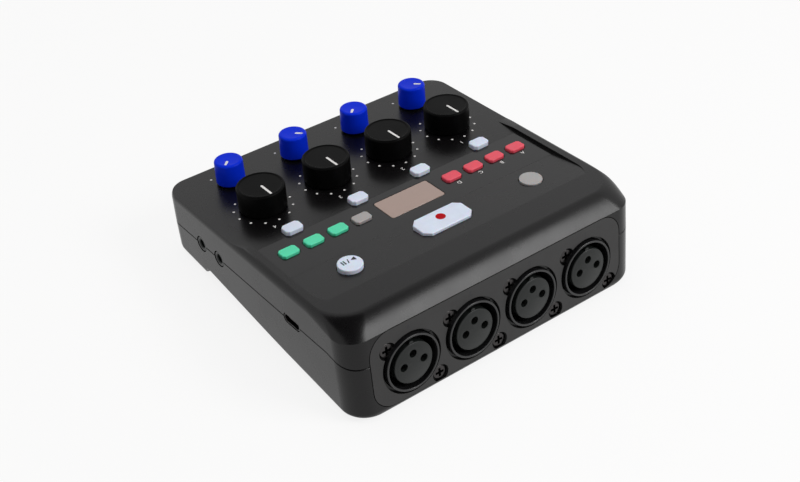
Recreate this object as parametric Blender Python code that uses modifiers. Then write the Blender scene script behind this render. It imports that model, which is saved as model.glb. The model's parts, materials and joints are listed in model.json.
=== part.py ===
"""A four channel podcast mixer as an assembly of separate pieces. All lengths are metres.

Every piece is modelled in the case's own frame: z is square to the knob deck, y runs from the
user's edge to the microphone sockets, and x to the user's right. One empty then tips the whole
case back, so that its feet stand on the world's floor, and centres it over the origin.
"""

import math

import bmesh
import bpy
from mathutils import Matrix, Vector

# Case: the deck is tipped towards the user, and y = 0 lies between the knobs and the buttons.
deck_tilt = math.radians(5.5)
case_width = 0.128
CASE_HALF = case_width / 2
case_front = -0.056
deck_above_floor = 0.0316
wall = 0.0020
deck_wall = 0.0024
rear_wall = 0.0036
floor_wall = 0.0018
case_centre = 0.0057
gap = 0.0003
overrun = 0.004
weld = 0.00001

# Case outline corners, seen from above
front_corner_radius = 0.0083
rear_corner_radius = 0.0085
deck_front_corner_radius = 0.0070
deck_rear_corner_radius = 0.0120
corner_steps = 5
side_shares = (0.50, 0.70, 0.83, 0.93)

# Case top: a rim stands above the knob deck and falls away to the sides and to the socket face.
rim_height = 0.0012
rim_inset = 0.0022
rim_front_inset = 0.0014
rim_rear = 0.0533
ramp_start = -0.0090
ramp_end = 0.0
shoulder_side_drop = 0.0018
shoulder_rear_drop = 0.0046
shoulder_blend_start = 0.038
shoulder_blend_end = 0.0575
shoulder_rear_power = 1.645
shoulder_steps = 4
seam_depth = 0.0122

# Recess in the case top for the knob deck, the control panel and the transport keys
recess_side = 0.0046
recess_half_width = CASE_HALF - recess_side
recess_corner = 0.0110
recess_steps = 5
recess_flat_end = 0.0232
recess_end = 0.0425

# Socket face: the flat rear face that carries the four microphone sockets
socket_face_lean = math.radians(3.7)
socket_face_y = 0.06255
socket_depth_down = 0.0216
socket_pitch = 0.02615
socket_count = 4

# Case bottom: raised belly between a front foot ridge and a rear foot
foot_standout = 0.0008
side_round = 0.0050
rear_round = 0.0015
front_round = 0.0035
bottom_draft = 0.0002
round_steps = 4
belly_front = -0.0290
belly_rear = 0.0270
belly_front_depth = 0.0227
belly_rear_depth = 0.0308
belly_front_run = 0.0060
belly_rear_run = 0.0115
belly_steps = 6

# Rear plate
rear_plate_side = 0.0071
rear_plate_half_width = CASE_HALF - rear_plate_side
rear_plate_top = 0.0168
rear_plate_bottom = -0.0134
rear_plate_radius = 0.0085
rear_plate_thickness = 0.0012
socket_hole_radius = 0.0120
screw_recess_radius = 0.0028
screw_hole_radius = 0.0013
screw_across_left = 0.0096
screw_up = 0.0097
screw_across_right = 0.0105
screw_down = 0.0098
screw_steps = 12

# Microphone sockets
socket_shell_radius = 0.0108
socket_bore_radius = 0.0100
socket_lip_proud = 0.0009
socket_shell_depth = 0.0150
socket_back = 0.0015
insert_radius = 0.0078
insert_proud = 0.0010
insert_chamfer = 0.0004
contact_hole_radius = 0.0015
contact_hole_depth = 0.0100
contact_half_spacing = 0.00412
contact_rise = 0.0038
contact_steps = 10
key_radius = 0.0009
key_depth = 0.0020
socket_flange_radius = 0.0123
socket_flange_thickness = 0.0015
socket_steps = 28

# Knobs and the shafts that they sit on
channel_share = 0.2215
channel_pitch = case_width * channel_share
channel_count = 4
level_row = -0.0200
phones_row = -0.0424
knob_clearance = 0.0008
level_knob_radius = 0.0087
level_knob_top = 0.0096
level_knob_round = 0.0010
level_knob_dish = 0.0004
phones_knob_radius = 0.0052
phones_knob_top = 0.0095
phones_knob_round = 0.0012
phones_knob_dish = 0.0002
phones_knob_taper = 0.0003
knob_round_steps = 3
knob_cap = 0.0018
level_knob_steps = 32
phones_knob_steps = 24
phones_knob_turns = (45.0, -45.0, 45.0, -45.0)
shaft_bore_depth = 0.0028
level_shaft_radius = 0.0030
phones_shaft_radius = 0.0020
shaft_hole_clearance = 0.0006
shaft_steps = 16
pointer_width = 0.00085
pointer_depth = 0.0003
level_pointer_margin = 0.0018
level_pointer_length = 0.0060
phones_pointer_margin = 0.0016
phones_pointer_length = 0.0026

# Main board with its potentiometers
board_top_depth = 0.0071
board_thickness = 0.0016
board_side = 0.0060
board_half_width = CASE_HALF - board_side
board_front_gap = 0.0040
board_rear = 0.0400
level_pot_side = 0.0110
phones_pot_side = 0.0090
pot_clearance = 0.0006
board_sink = 0.0002
post_radius = 0.0025
post_side = 0.0090
post_across = CASE_HALF - post_side
post_rows = (-0.0080, 0.0190)
post_steps = 12

# Keys: caps that stand through the case, with a flange under it and a stem
key_travel = 0.0008
key_flange = 0.0006
key_flange_thickness = 0.0008
key_switch_clearance = 0.0001
key_switch_side = 0.0040
key_corner_growth = 2 - math.sqrt(2)
key_edge_round = 0.0004
small_key_width = 0.0070
small_key_depth = 0.0048
small_key_corner = 0.0014
small_key_row = 0.0103
small_key_pitch_share = 0.0801
small_key_pitch = case_width * small_key_pitch_share
small_key_first_share = 0.1594
small_key_first = case_width * small_key_first_share
small_key_proud = 0.0010
mute_key_width = 0.0072
mute_key_depth = 0.0052
mute_key_corner = 0.0016
mute_key_row = -0.0007
mute_key_proud = 0.0015
record_key_width = 0.0214
record_key_depth = 0.0102
record_key_corner = 0.0033
record_key_row = 0.0306
record_key_proud = 0.0017
play_key_radius = 0.00455
play_key_proud = 0.0022
power_key_radius = 0.0043
power_key_proud = 0.0012
round_key_share = 0.3148
round_key_across = case_width * round_key_share
round_key_row = 0.0316
round_key_steps = 28

# Control panel and display
panel_side = 0.0006
panel_half_width = recess_half_width - panel_side
panel_front = 0.0017
panel_rear = 0.0230
panel_thickness = 0.0010
panel_corner = 0.0008
display_share = 0.1852
display_width = case_width * display_share
display_depth = 0.0119
display_row = 0.0114
display_ledge = 0.0010
module_border = 0.0018
module_thickness = 0.0022

# Side and front jacks, the charging port and the card socket
jack_radius = 0.0029
jack_bore_radius = 0.00175
jack_length = 0.0125
jack_bore_depth = 0.0105
jack_steps = 20
jack_sink = 0.0002
side_jack_rows = (-0.0308, -0.0184)
usb_row = 0.0293
usb_width = 0.0092
usb_height = 0.0034
usb_wall = 0.0003
usb_length = 0.0075
usb_tongue_height = 0.0007
usb_tongue_width = 0.0062
usb_tongue_sink = 0.0010
usb_back = 0.0010
port_corner_share = 0.45
port_corner_steps = 3
card_row = 0.0060
card_width = 0.0130
card_height = 0.0016
card_length = 0.0140
card_slot_width = 0.0112
card_slot_height = 0.0008
card_slot_depth = 0.0110

# Battery bay: two cells side by side, behind a hinged door in the belly
cell_radius = 0.00725
cell_length = 0.0505
cell_clearance = 0.0001
contact_room = 0.0030
bay_front = -0.0030
holder_wall = 0.0014
holder_ceiling = 0.0008
holder_above_belly = 0.0034
door_length = 0.0286
door_half_width = 0.0274
door_barrel_radius = 0.0015
door_barrel_steps = 8
door_swing_room = 0.0006
door_axis_row = door_barrel_radius + door_swing_room
door_pin_radius = 0.0008
door_pin_length = 0.0028
door_pin_steps = 10
door_finger_width = 0.0100
door_finger_length = 0.0020
door_finger_depth = 0.0006
hinge_rail_start = 0.0285
hinge_rail_width = 0.0023
hinge_rail_front = -0.0010
hinge_rail_rear = 0.0040
hinge_rail_height = 0.0042

# Feet
foot_radius = 0.0055
foot_thickness = 0.0014
foot_side = 0.0160
foot_across = CASE_HALF - foot_side
foot_front_row = -0.0440
foot_rear_row = 0.0500
foot_steps = 24

BOARD_UNDER = -board_top_depth - board_thickness
FLANGE_TOP = -deck_wall - gap
FLANGE_UNDER = FLANGE_TOP - key_flange_thickness
SWITCH_TOP = FLANGE_UNDER - key_travel - key_switch_clearance
BELLY_SLOPE = (belly_front_depth - belly_rear_depth) / (belly_rear - belly_front)
CHANNELS = tuple(channel_pitch * (number - (channel_count - 1) / 2) for number in range(channel_count))
SOCKETS = tuple(socket_pitch * (number - (socket_count - 1) / 2) for number in range(socket_count))


def clear_scene():
    """Removes what the scene holds."""
    for item in list(bpy.data.objects):
        bpy.data.objects.remove(item)


def collection(name, parent):
    made = bpy.data.collections.new(name)
    parent.children.link(made)
    return made


clear_scene()
PARTS = collection("podcast_mixer", bpy.context.scene.collection)
CUTTERS = collection("cutters", bpy.context.scene.collection)
CUTTERS.hide_render = True


def empty(name, parent, place=(0, 0, 0), turn=(0, 0, 0)):
    """An empty that holds pieces, or that marks a joint's axis."""
    made = bpy.data.objects.new(name, None)
    PARTS.objects.link(made)
    made.parent = parent
    made.location = place
    made.rotation_euler = turn
    return made


def material(name, colour, roughness, metallic=0.0, alpha=1.0):
    """A Principled material with a plain colour."""
    made = bpy.data.materials.new(name)
    made.use_nodes = True
    shader = made.node_tree.nodes["Principled BSDF"]
    shader.inputs["Base Color"].default_value = (*colour, 1.0)
    shader.inputs["Roughness"].default_value = roughness
    shader.inputs["Metallic"].default_value = metallic
    shader.inputs["Alpha"].default_value = alpha
    return made


CASE = empty("case_frame", None, turn=(deck_tilt, 0, 0))
CASE_PLASTIC = material("case_plastic", (0.045, 0.042, 0.044), 0.45)
PANEL_PLASTIC = material("panel_plastic", (0.060, 0.057, 0.060), 0.30)
PLATE_METAL = material("plate_metal", (0.050, 0.048, 0.048), 0.45)
KNOB_BLACK = material("knob_black", (0.012, 0.012, 0.013), 0.40)
KNOB_BLUE = material("knob_blue", (0.008, 0.030, 0.550), 0.45)
SHAFT_METAL = material("shaft_metal", (0.600, 0.600, 0.580), 0.30, 1.0)
KEY_WHITE = material("key_white", (0.700, 0.710, 0.780), 0.50)
KEY_GREEN = material("key_green", (0.090, 0.680, 0.270), 0.50)
KEY_GREY = material("key_grey", (0.380, 0.360, 0.330), 0.50)
KEY_RED = material("key_red", (0.800, 0.080, 0.140), 0.50)
SOCKET_BLACK = material("socket_black", (0.020, 0.020, 0.020), 0.35)
BOARD_GREEN = material("board_green", (0.020, 0.140, 0.060), 0.50)
RUBBER = material("rubber", (0.020, 0.020, 0.020), 0.80)
SCREEN_GLASS = material("screen_glass", (0.400, 0.320, 0.280), 0.15)


def mesh_of(shape, name):
    """The mesh of a finished bmesh, with its round stretches shaded smooth."""
    bmesh.ops.recalc_face_normals(shape, faces=shape.faces)
    mesh = bpy.data.meshes.new(name)
    shape.to_mesh(mesh)
    shape.free()
    mesh.shade_smooth()
    mesh.set_sharp_from_angle(angle=math.radians(35))
    return mesh


def piece(name, mesh, finish, parent=None):
    """A named piece of the mixer."""
    made = bpy.data.objects.new(name, mesh)
    PARTS.objects.link(made)
    made.parent = parent or CASE
    mesh.materials.append(finish)
    return made


def tool(name, mesh, group, parent=None):
    """A shape that cuts or fills, in a collection of its own under the cutters."""
    made = bpy.data.objects.new(name, mesh)
    group.objects.link(made)
    made.parent = parent or CASE
    made.hide_render = True
    made.display_type = "WIRE"
    return made


def tools_of(name):
    return collection(name, CUTTERS)


def boolean(target, operation, tools):
    """A Boolean with one object or with a whole collection of them."""
    modifier = target.modifiers.new(operation.lower(), "BOOLEAN")
    modifier.operation = operation
    modifier.solver = "EXACT"
    if isinstance(tools, bpy.types.Collection):
        modifier.operand_type = "COLLECTION"
        modifier.collection = tools
    else:
        modifier.object = tools
    return modifier


def box_mesh(name, low, high):
    """A box between two corners."""
    shape = bmesh.new()
    bmesh.ops.create_cube(shape, size=1.0)
    low = Vector(low)
    high = Vector(high)
    bmesh.ops.scale(shape, vec=high - low, verts=shape.verts)
    bmesh.ops.translate(shape, vec=(low + high) / 2, verts=shape.verts)
    return mesh_of(shape, name)


def rod_mesh(name, start, end, radius, steps):
    """A straight cylinder from one point to another."""
    start = Vector(start)
    run = Vector(end) - start
    turn = run.to_track_quat("Z", "Y").to_matrix().to_4x4()
    shape = bmesh.new()
    bmesh.ops.create_cone(
        shape,
        cap_ends=True,
        segments=steps,
        radius1=radius,
        radius2=radius,
        depth=run.length,
        matrix=Matrix.Translation(start + run / 2) @ turn,
    )
    return mesh_of(shape, name)


def flat_mesh(name, outline, low, high, place=Matrix()):
    """A flat outline of x, y points, filled and made thick from low to high, then put in place."""
    curve = bpy.data.curves.new(name, "CURVE")
    curve.dimensions = "2D"
    curve.fill_mode = "BOTH"
    curve.extrude = (high - low) / 2
    spline = curve.splines.new("POLY")
    spline.points.add(len(outline) - 1)
    for point, (x, y) in zip(spline.points, outline):
        point.co = (x, y, 0, 1)
    spline.use_cyclic_u = True
    guide = bpy.data.objects.new(name, curve)
    CUTTERS.objects.link(guide)
    graph = bpy.context.evaluated_depsgraph_get()
    mesh = bpy.data.meshes.new_from_object(guide.evaluated_get(graph))
    bpy.data.objects.remove(guide)
    bpy.data.curves.remove(curve)
    shape = bmesh.new()
    shape.from_mesh(mesh)
    bpy.data.meshes.remove(mesh)
    bmesh.ops.remove_doubles(shape, verts=shape.verts, dist=weld)
    bmesh.ops.translate(shape, vec=(0, 0, (low + high) / 2), verts=shape.verts)
    bmesh.ops.transform(shape, matrix=place, verts=shape.verts)
    return mesh_of(shape, name)


def turned(name, profile, steps, finish, parent):
    """A profile of radius, height points, turned about the parent's z axis by a Screw modifier."""
    mesh = bpy.data.meshes.new(name)
    points = [(radius, 0, height) for radius, height in profile]
    edges = [(number, number + 1) for number in range(len(points) - 1)]
    mesh.from_pydata(points, edges, [])
    made = piece(name, mesh, finish, parent)
    screw = made.modifiers.new("turn", "SCREW")
    screw.steps = steps
    screw.render_steps = steps
    screw.use_merge_vertices = True
    screw.merge_threshold = weld
    return made


def arc(centre, radius, start, end, steps):
    """Points on a circle's arc, both ends included."""
    x, y = centre
    angles = [start + (end - start) * step / steps for step in range(steps + 1)]
    return [(x + radius * math.cos(angle), y + radius * math.sin(angle)) for angle in angles]


def rounded_box(half_width, low, high, low_radius, high_radius, steps):
    """A rectangle's outline with one radius on its low corners and one on its high ones."""
    outline = []
    quarter = math.pi / 2
    corners = (
        (half_width - low_radius, low + low_radius, low_radius, 3 * quarter),
        (half_width - high_radius, high - high_radius, high_radius, 4 * quarter),
        (high_radius - half_width, high - high_radius, high_radius, 5 * quarter),
        (low_radius - half_width, low + low_radius, low_radius, 6 * quarter),
    )
    for x, y, radius, start in corners:
        outline += arc((x, y), radius, start, start + quarter, steps)
    return outline


def chamfered_box(half_width, half_depth, corner, row=0.0, centre=0.0):
    """A rectangle's outline with its corners cut off."""
    x = half_width
    y = half_depth
    inner_x = x - corner
    inner_y = y - corner
    eight = (
        (inner_x, -y),
        (x, -inner_y),
        (x, inner_y),
        (inner_x, y),
        (-inner_x, y),
        (-x, inner_y),
        (-x, -inner_y),
        (-inner_x, -y),
    )
    return [(centre + px, row + py) for px, py in eight]


def with_side_points(outline, shares):
    """The case outline with points added along its two straight sides."""
    count = len(outline) // 4
    first = outline[count - 1]
    second = outline[count]
    across = second[0] - first[0]
    along = second[1] - first[1]
    right = [(first[0] + across * share, first[1] + along * share) for share in shares]
    left = [(-x, y) for x, y in reversed(right)]
    return outline[:count] + right + outline[count : 3 * count] + left + outline[3 * count :]


def loft_mesh(name, rings):
    """A closed skin through rings of equal point count, with a flat cap on each end."""
    shape = bmesh.new()
    rows = [[shape.verts.new(point) for point in ring] for ring in rings]
    count = len(rings[0])
    for upper, lower in zip(rows, rows[1:]):
        for number in range(count):
            after = (number + 1) % count
            shape.faces.new((upper[number], upper[after], lower[after], lower[number]))
    shape.faces.new(rows[0])
    shape.faces.new(reversed(rows[-1]))
    return mesh_of(shape, name)


def smooth_step(value, start, end):
    """0 before start, 1 after end, and an S-shaped curve between."""
    share = min(max((value - start) / (end - start), 0.0), 1.0)
    return share * share * (3 - 2 * share)


def face_y(height):
    """Where the socket face lies at this height."""
    return socket_face_y - (height + socket_depth_down) * math.tan(socket_face_lean)


def floor_height(y):
    """The floor that the mixer stands on, in the case's frame."""
    return -deck_above_floor - y * math.tan(deck_tilt)


def belly_height(y):
    """The raised underside between the feet."""
    return -belly_front_depth + BELLY_SLOPE * (y - belly_front)


def case_outline(half_width, front, rear, front_radius, rear_radius):
    plain = rounded_box(half_width, front, rear, front_radius, rear_radius, corner_steps)
    return with_side_points(plain, side_shares)


def level_ring(outline, height):
    return [(x, y, height) for x, y in outline]


def shoulder_ring(angle):
    """A ring between the rim's edge and the case's side, an angle of the way round the fall."""
    share = math.sin(angle)
    outline = case_outline(
        CASE_HALF - rim_inset * (1 - share),
        case_front + rim_front_inset * (1 - share),
        rim_rear + (face_y(-shoulder_rear_drop) - rim_rear) * share,
        deck_front_corner_radius + (front_corner_radius - deck_front_corner_radius) * share,
        deck_rear_corner_radius + (rear_corner_radius - deck_rear_corner_radius) * share,
    )
    ring = []
    for x, y in outline:
        blend = smooth_step(y, shoulder_blend_start, shoulder_blend_end)
        drop = rim_height + shoulder_side_drop + (shoulder_rear_drop - shoulder_side_drop) * blend
        drop_share = (1 - math.cos(angle)) * (1 - blend) + share**shoulder_rear_power * blend
        ring.append((x, y, rim_height - drop * drop_share))
    return ring


def side_ring(height, inset=0.0):
    """The case's outer outline at one height, or a wall's thickness inside it."""
    outline = case_outline(
        CASE_HALF - inset,
        case_front + inset,
        face_y(height) - inset * rear_wall / wall,
        front_corner_radius - inset,
        rear_corner_radius - inset,
    )
    return level_ring(outline, height)


def foot_ring(angle, inset=0.0, rise=0.0):
    """A ring on the rounded edge between the case's sides and its underside, parallel to the floor."""
    turn = 1 - math.cos(angle)
    drop = 1 - math.sin(angle)
    rear_height = floor_height(socket_face_y) + foot_standout + rise + rear_round * 2 * drop
    rear_inset = inset * rear_wall / wall if inset else rear_round * turn
    outline = case_outline(
        CASE_HALF - bottom_draft - side_round * turn - inset,
        case_front + bottom_draft + front_round * turn + inset,
        face_y(rear_height) - rear_inset,
        front_corner_radius - inset,
        rear_corner_radius - inset,
    )
    ring = []
    for x, y in outline:
        rear_share = smooth_step(y, belly_rear, socket_face_y)
        edge = front_round + (rear_round * 2 - front_round) * rear_share
        ring.append((x, y, floor_height(y) + foot_standout + rise + edge * drop))
    return ring


def belly_outline(inset):
    """The belly's outline in y and z, drawn a wall's thickness inside the case for its cavity."""
    outline = []
    below = -deck_above_floor - overrun * 3
    rear_low = floor_height(belly_rear + belly_rear_run)
    front_low = floor_height(belly_front - belly_front_run)
    for step in range(belly_steps + 1):
        share = step / belly_steps
        y = belly_front - belly_front_run * (1 - share) - inset
        z = front_low + (belly_height(belly_front) - front_low) * smooth_step(share, 0, 1) + inset
        outline.append((y, z))
    for step in range(belly_steps + 1):
        share = step / belly_steps
        y = belly_rear + belly_rear_run * share + inset
        fall = rear_low - belly_height(belly_rear)
        z = belly_height(belly_rear) + fall * smooth_step(share, 0, 1) + inset
        outline.append((y, z))
    return [(outline[0][0], below)] + outline + [(outline[-1][0], below)]


ALONG_X = Matrix(((0, 0, 1, 0), (1, 0, 0, 0), (0, 1, 0, 0), (0, 0, 0, 1)))


def across_mesh(name, outline, half_width):
    """A y, z outline carried across the case from side to side."""
    return flat_mesh(name, outline, -half_width, half_width, ALONG_X)


def angles_to(end, steps):
    return [end * step / steps for step in range(steps + 1)]


def recess_mesh():
    """The sunk floor of the case top: flat under the knobs and the panel, then rising to the rear."""
    rise = rim_height / (recess_end - recess_flat_end)
    rear = recess_end + overrun
    quarter = math.pi / 2
    x = recess_half_width
    right = arc((x - recess_corner, rear - recess_corner), recess_corner, 0, quarter, recess_steps)
    left = [(-px, py) for px, py in reversed(right)]
    outline = [(x, ramp_start - overrun), (x, recess_flat_end)] + right + left
    outline += [(-x, recess_flat_end), (-x, ramp_start - overrun)]
    shape = bmesh.new()
    low = [shape.verts.new((px, py, max(py - recess_flat_end, 0.0) * rise)) for px, py in outline]
    high = [shape.verts.new((px, py, overrun)) for px, py in outline]
    for number in range(len(outline)):
        after = (number + 1) % len(outline)
        shape.faces.new((low[number], low[after], high[after], high[number]))
    shape.faces.new([low[0], low[1], low[-2], low[-1]])
    shape.faces.new(low[1:-1])
    shape.faces.new(high)
    return mesh_of(shape, "recess_cut")


def ramp_mesh():
    """What is taken off the rim over its front stretch, so that it ramps down to the knob deck."""
    front = case_front - overrun
    beyond = 1 + gap / rim_height
    end = ramp_start + (ramp_end - ramp_start) * beyond
    outline = [(front, 0), (ramp_start, 0), (end, rim_height * beyond), (end, overrun), (front, overrun)]
    return across_mesh("ramp_cut", outline, case_width)


def key_outline(kind, growth=0.0):
    """A key's outline about its own centre, grown all round."""
    corner = growth * key_corner_growth
    if kind == "small":
        return chamfered_box(
            small_key_width / 2 + growth, small_key_depth / 2 + growth, small_key_corner + corner
        )
    if kind == "mute":
        return chamfered_box(
            mute_key_width / 2 + growth, mute_key_depth / 2 + growth, mute_key_corner + corner
        )
    if kind == "record":
        return chamfered_box(
            record_key_width / 2 + growth, record_key_depth / 2 + growth, record_key_corner + corner
        )
    radius = play_key_radius if kind == "play" else power_key_radius
    return arc((0, 0), radius + growth, 0, 2 * math.pi, round_key_steps)[:-1]


def list_keys():
    """Every key: name, outline, place across and along the deck, height of its top and finish."""
    keys = []
    for number, x in enumerate(CHANNELS, 1):
        keys.append((f"mute_button_{number}", "mute", x, mute_key_row, mute_key_proud, KEY_WHITE))
    for number in range(channel_count):
        x = small_key_first + small_key_pitch * number
        name = f"function_button_{number}" if number else "menu_button"
        finish = KEY_GREEN if number else KEY_GREY
        keys.append((name, "small", x, small_key_row, small_key_proud, finish))
        name = f"pad_button_{channel_count - number}"
        keys.append((name, "small", -x, small_key_row, small_key_proud, KEY_RED))
    keys.append(("record_button", "record", 0.0, record_key_row, record_key_proud, KEY_WHITE))
    keys.append(("play_button", "play", round_key_across, round_key_row, play_key_proud, KEY_WHITE))
    keys.append(("power_button", "power", -round_key_across, round_key_row, power_key_proud, KEY_GREY))
    return keys


KEYS = list_keys()


def build_key(name, kind, x, y, top, finish):
    """A key with a cap that stands through the case and a flange that stops it from below."""
    wide = key_outline(kind, key_flange)
    cap = key_outline(kind)
    crown = key_outline(kind, -key_edge_round)
    rings = [
        level_ring(wide, FLANGE_UNDER),
        level_ring(wide, FLANGE_TOP),
        level_ring(cap, FLANGE_TOP),
        level_ring(cap, top - key_edge_round),
        level_ring(crown, top),
    ]
    made = piece(name, loft_mesh(name, rings), finish)
    made.location = (x, y, 0)


def key_cutter(key, group, low, high):
    name, kind, x, y = key[:4]
    cut = tool(f"{name}_{group.name}", flat_mesh("opening", key_outline(kind, gap), low, high), group)
    cut.location = (x, y, 0)


def side_frame(name, x, y):
    """An empty on a side wall at the seam, whose z axis points out of the wall."""
    place = (math.copysign(CASE_HALF, x), y, -seam_depth)
    return empty(name, CASE, place, (0, math.copysign(math.pi / 2, x), 0))


def front_frame(name, x):
    """An empty on the front wall at the seam, whose z axis points out of the wall."""
    return empty(name, CASE, (x, case_front, -seam_depth), (math.pi / 2, 0, 0))


def socket_frame(name, x):
    """An empty on the socket face, whose z axis points out of it and whose y axis points down."""
    place = (x, socket_face_y, -socket_depth_down)
    return empty(name, CASE, place, (-math.pi / 2 + socket_face_lean, 0, 0))


def port_outline(width, height, growth=0.0):
    radius = min(width, height) * port_corner_share + growth
    half = width / 2 + growth
    return rounded_box(height / 2 + growth, -half, half, radius, radius, port_corner_steps)


JACK_FRAMES = []
for jack_number, jack_row in enumerate(side_jack_rows, 1):
    JACK_FRAMES.append(side_frame(f"side_jack_{jack_number}_frame", 1, jack_row))
for jack_number, jack_x in enumerate(CHANNELS, 1):
    JACK_FRAMES.append(front_frame(f"headphone_jack_{jack_number}_frame", jack_x))
USB_FRAME = side_frame("usb_frame", 1, usb_row)
CARD_FRAME = side_frame("card_frame", -1, card_row)
SOCKET_FRAMES = [socket_frame(f"socket_{number}_frame", x) for number, x in enumerate(SOCKETS, 1)]
PLATE_FRAME = socket_frame("plate_frame", 0)
BELLY_FRAME = empty(
    "belly_frame",
    CASE,
    (0, bay_front, belly_height(bay_front)),
    (math.atan(BELLY_SLOPE), 0, 0),
)
FLOOR_FRAME = empty("floor_frame", CASE, (0, 0, -deck_above_floor), (-deck_tilt, 0, 0))


def plate_outline(growth=0.0):
    radius = rear_plate_radius + growth
    low = -rear_plate_top - growth
    high = -rear_plate_bottom + growth
    return rounded_box(rear_plate_half_width + growth, low, high, radius, radius, corner_steps)


def screw_places():
    """Two screws for each microphone socket, at opposite corners."""
    return ((screw_across_left, -screw_up), (-screw_across_right, screw_down))


def make_port_cuts():
    """Openings at the seam for jacks and ports, and behind the rear plate for the sockets."""
    group = tools_of("port_cuts")
    for number, frame in enumerate(JACK_FRAMES):
        mesh = rod_mesh("bore", (0, 0, -jack_length - gap), (0, 0, overrun), jack_radius + gap, jack_steps)
        tool(f"jack_cut_{number}", mesh, group, frame)
    outline = port_outline(usb_width, usb_height, gap)
    tool("usb_cut", flat_mesh("opening", outline, -usb_length - gap, overrun), group, USB_FRAME)
    outline = port_outline(card_width, card_height, gap)
    tool("card_cut", flat_mesh("opening", outline, -card_length - gap, overrun), group, CARD_FRAME)
    mesh = flat_mesh("pocket", plate_outline(gap), -rear_plate_thickness - gap, overrun)
    tool("plate_cut", mesh, group, PLATE_FRAME)
    for number, frame in enumerate(SOCKET_FRAMES):
        deep = -rear_wall - overrun
        mesh = rod_mesh("bore", (0, 0, deep), (0, 0, overrun), socket_shell_radius + gap, socket_steps)
        tool(f"socket_cut_{number}", mesh, group, frame)
        for x, y in screw_places():
            mesh = rod_mesh("hole", (x, y, deep), (x, y, overrun), screw_hole_radius, screw_steps)
            tool(f"screw_cut_{number}", mesh, group, frame)
    return group


PORT_CUTS = make_port_cuts()


def build_top_case():
    """The upper half of the case, hollow, with its sunk deck and all openings."""
    rings = [shoulder_ring(angle) for angle in angles_to(math.pi / 2, shoulder_steps)]
    rings.append(side_ring(-seam_depth + gap / 2))
    case = piece("top_case", loft_mesh("top_case", rings), CASE_PLASTIC)
    hollow = tools_of("top_case_hollow")
    inner = CASE_HALF - wall
    rings = [
        level_ring(
            case_outline(inner - wall, case_front + wall * 2, rim_rear - wall, wall * 2, wall * 2),
            -deck_wall,
        ),
        side_ring(-deck_wall - wall * 2, wall),
        side_ring(-seam_depth - overrun, wall),
    ]
    tool("top_hollow", loft_mesh("top_hollow", rings), hollow)
    boolean(case, "DIFFERENCE", hollow)
    sunk = tool("recess_cut", recess_mesh(), tools_of("top_case_recess"))
    boolean(case, "DIFFERENCE", sunk)
    ramp = tool("ramp_cut", ramp_mesh(), tools_of("top_case_ramp"))
    boolean(case, "DIFFERENCE", ramp)
    mesh = flat_mesh("pocket", panel_outline(gap), -panel_thickness - gap, overrun)
    pocket = tool("panel_pocket", mesh, tools_of("top_case_pocket"))
    boolean(case, "DIFFERENCE", pocket)
    openings = tools_of("top_case_openings")
    for key in KEYS:
        key_cutter(key, openings, -deck_wall - overrun, overrun)
    for x in CHANNELS:
        for row, radius in ((level_row, level_shaft_radius), (phones_row, phones_shaft_radius)):
            low = (x, row, -deck_wall - overrun)
            hole = radius + shaft_hole_clearance
            mesh = rod_mesh("hole", low, (x, row, overrun), hole, shaft_steps)
            tool("shaft_cut", mesh, openings)
    x = display_width / 2 - display_ledge
    y = display_depth / 2 - display_ledge
    low = (-x, display_row - y, -deck_wall - overrun)
    tool("display_cut", box_mesh("display_cut", low, (x, display_row + y, overrun)), openings)
    boolean(case, "DIFFERENCE", openings)
    boolean(case, "DIFFERENCE", PORT_CUTS)


def panel_outline(growth=0.0):
    half = panel_half_width + growth
    radius = panel_corner + growth
    return rounded_box(half, panel_front - growth, panel_rear + growth, radius, radius, 2)


def display_outline(growth=0.0):
    half = display_depth / 2 + growth
    radius = panel_corner + growth
    width = display_width / 2 + growth
    return rounded_box(width, display_row - half, display_row + half, radius, radius, 2)


def build_control_panel():
    """The sheet around the small keys and the display, let into the case top, with its display."""
    mesh = flat_mesh("control_panel", panel_outline(), -panel_thickness, 0)
    panel = piece("control_panel", mesh, PANEL_PLASTIC)
    openings = tools_of("panel_openings")
    for key in KEYS:
        if key[1] in ("small", "mute"):
            key_cutter(key, openings, -panel_thickness - overrun, overrun)
    mesh = flat_mesh("display_hole", display_outline(gap), -panel_thickness - overrun, overrun)
    tool("display_hole", mesh, openings)
    boolean(panel, "DIFFERENCE", openings)
    mesh = flat_mesh("display_window", display_outline(), -panel_thickness, 0)
    piece("display_window", mesh, SCREEN_GLASS)
    x = display_width / 2 + module_border
    y = display_depth / 2 + module_border
    top = -deck_wall - gap
    low = (-x, display_row - y, top - module_thickness)
    piece("display_module", box_mesh("display_module", low, (x, display_row + y, top)), BOARD_GREEN)


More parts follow.
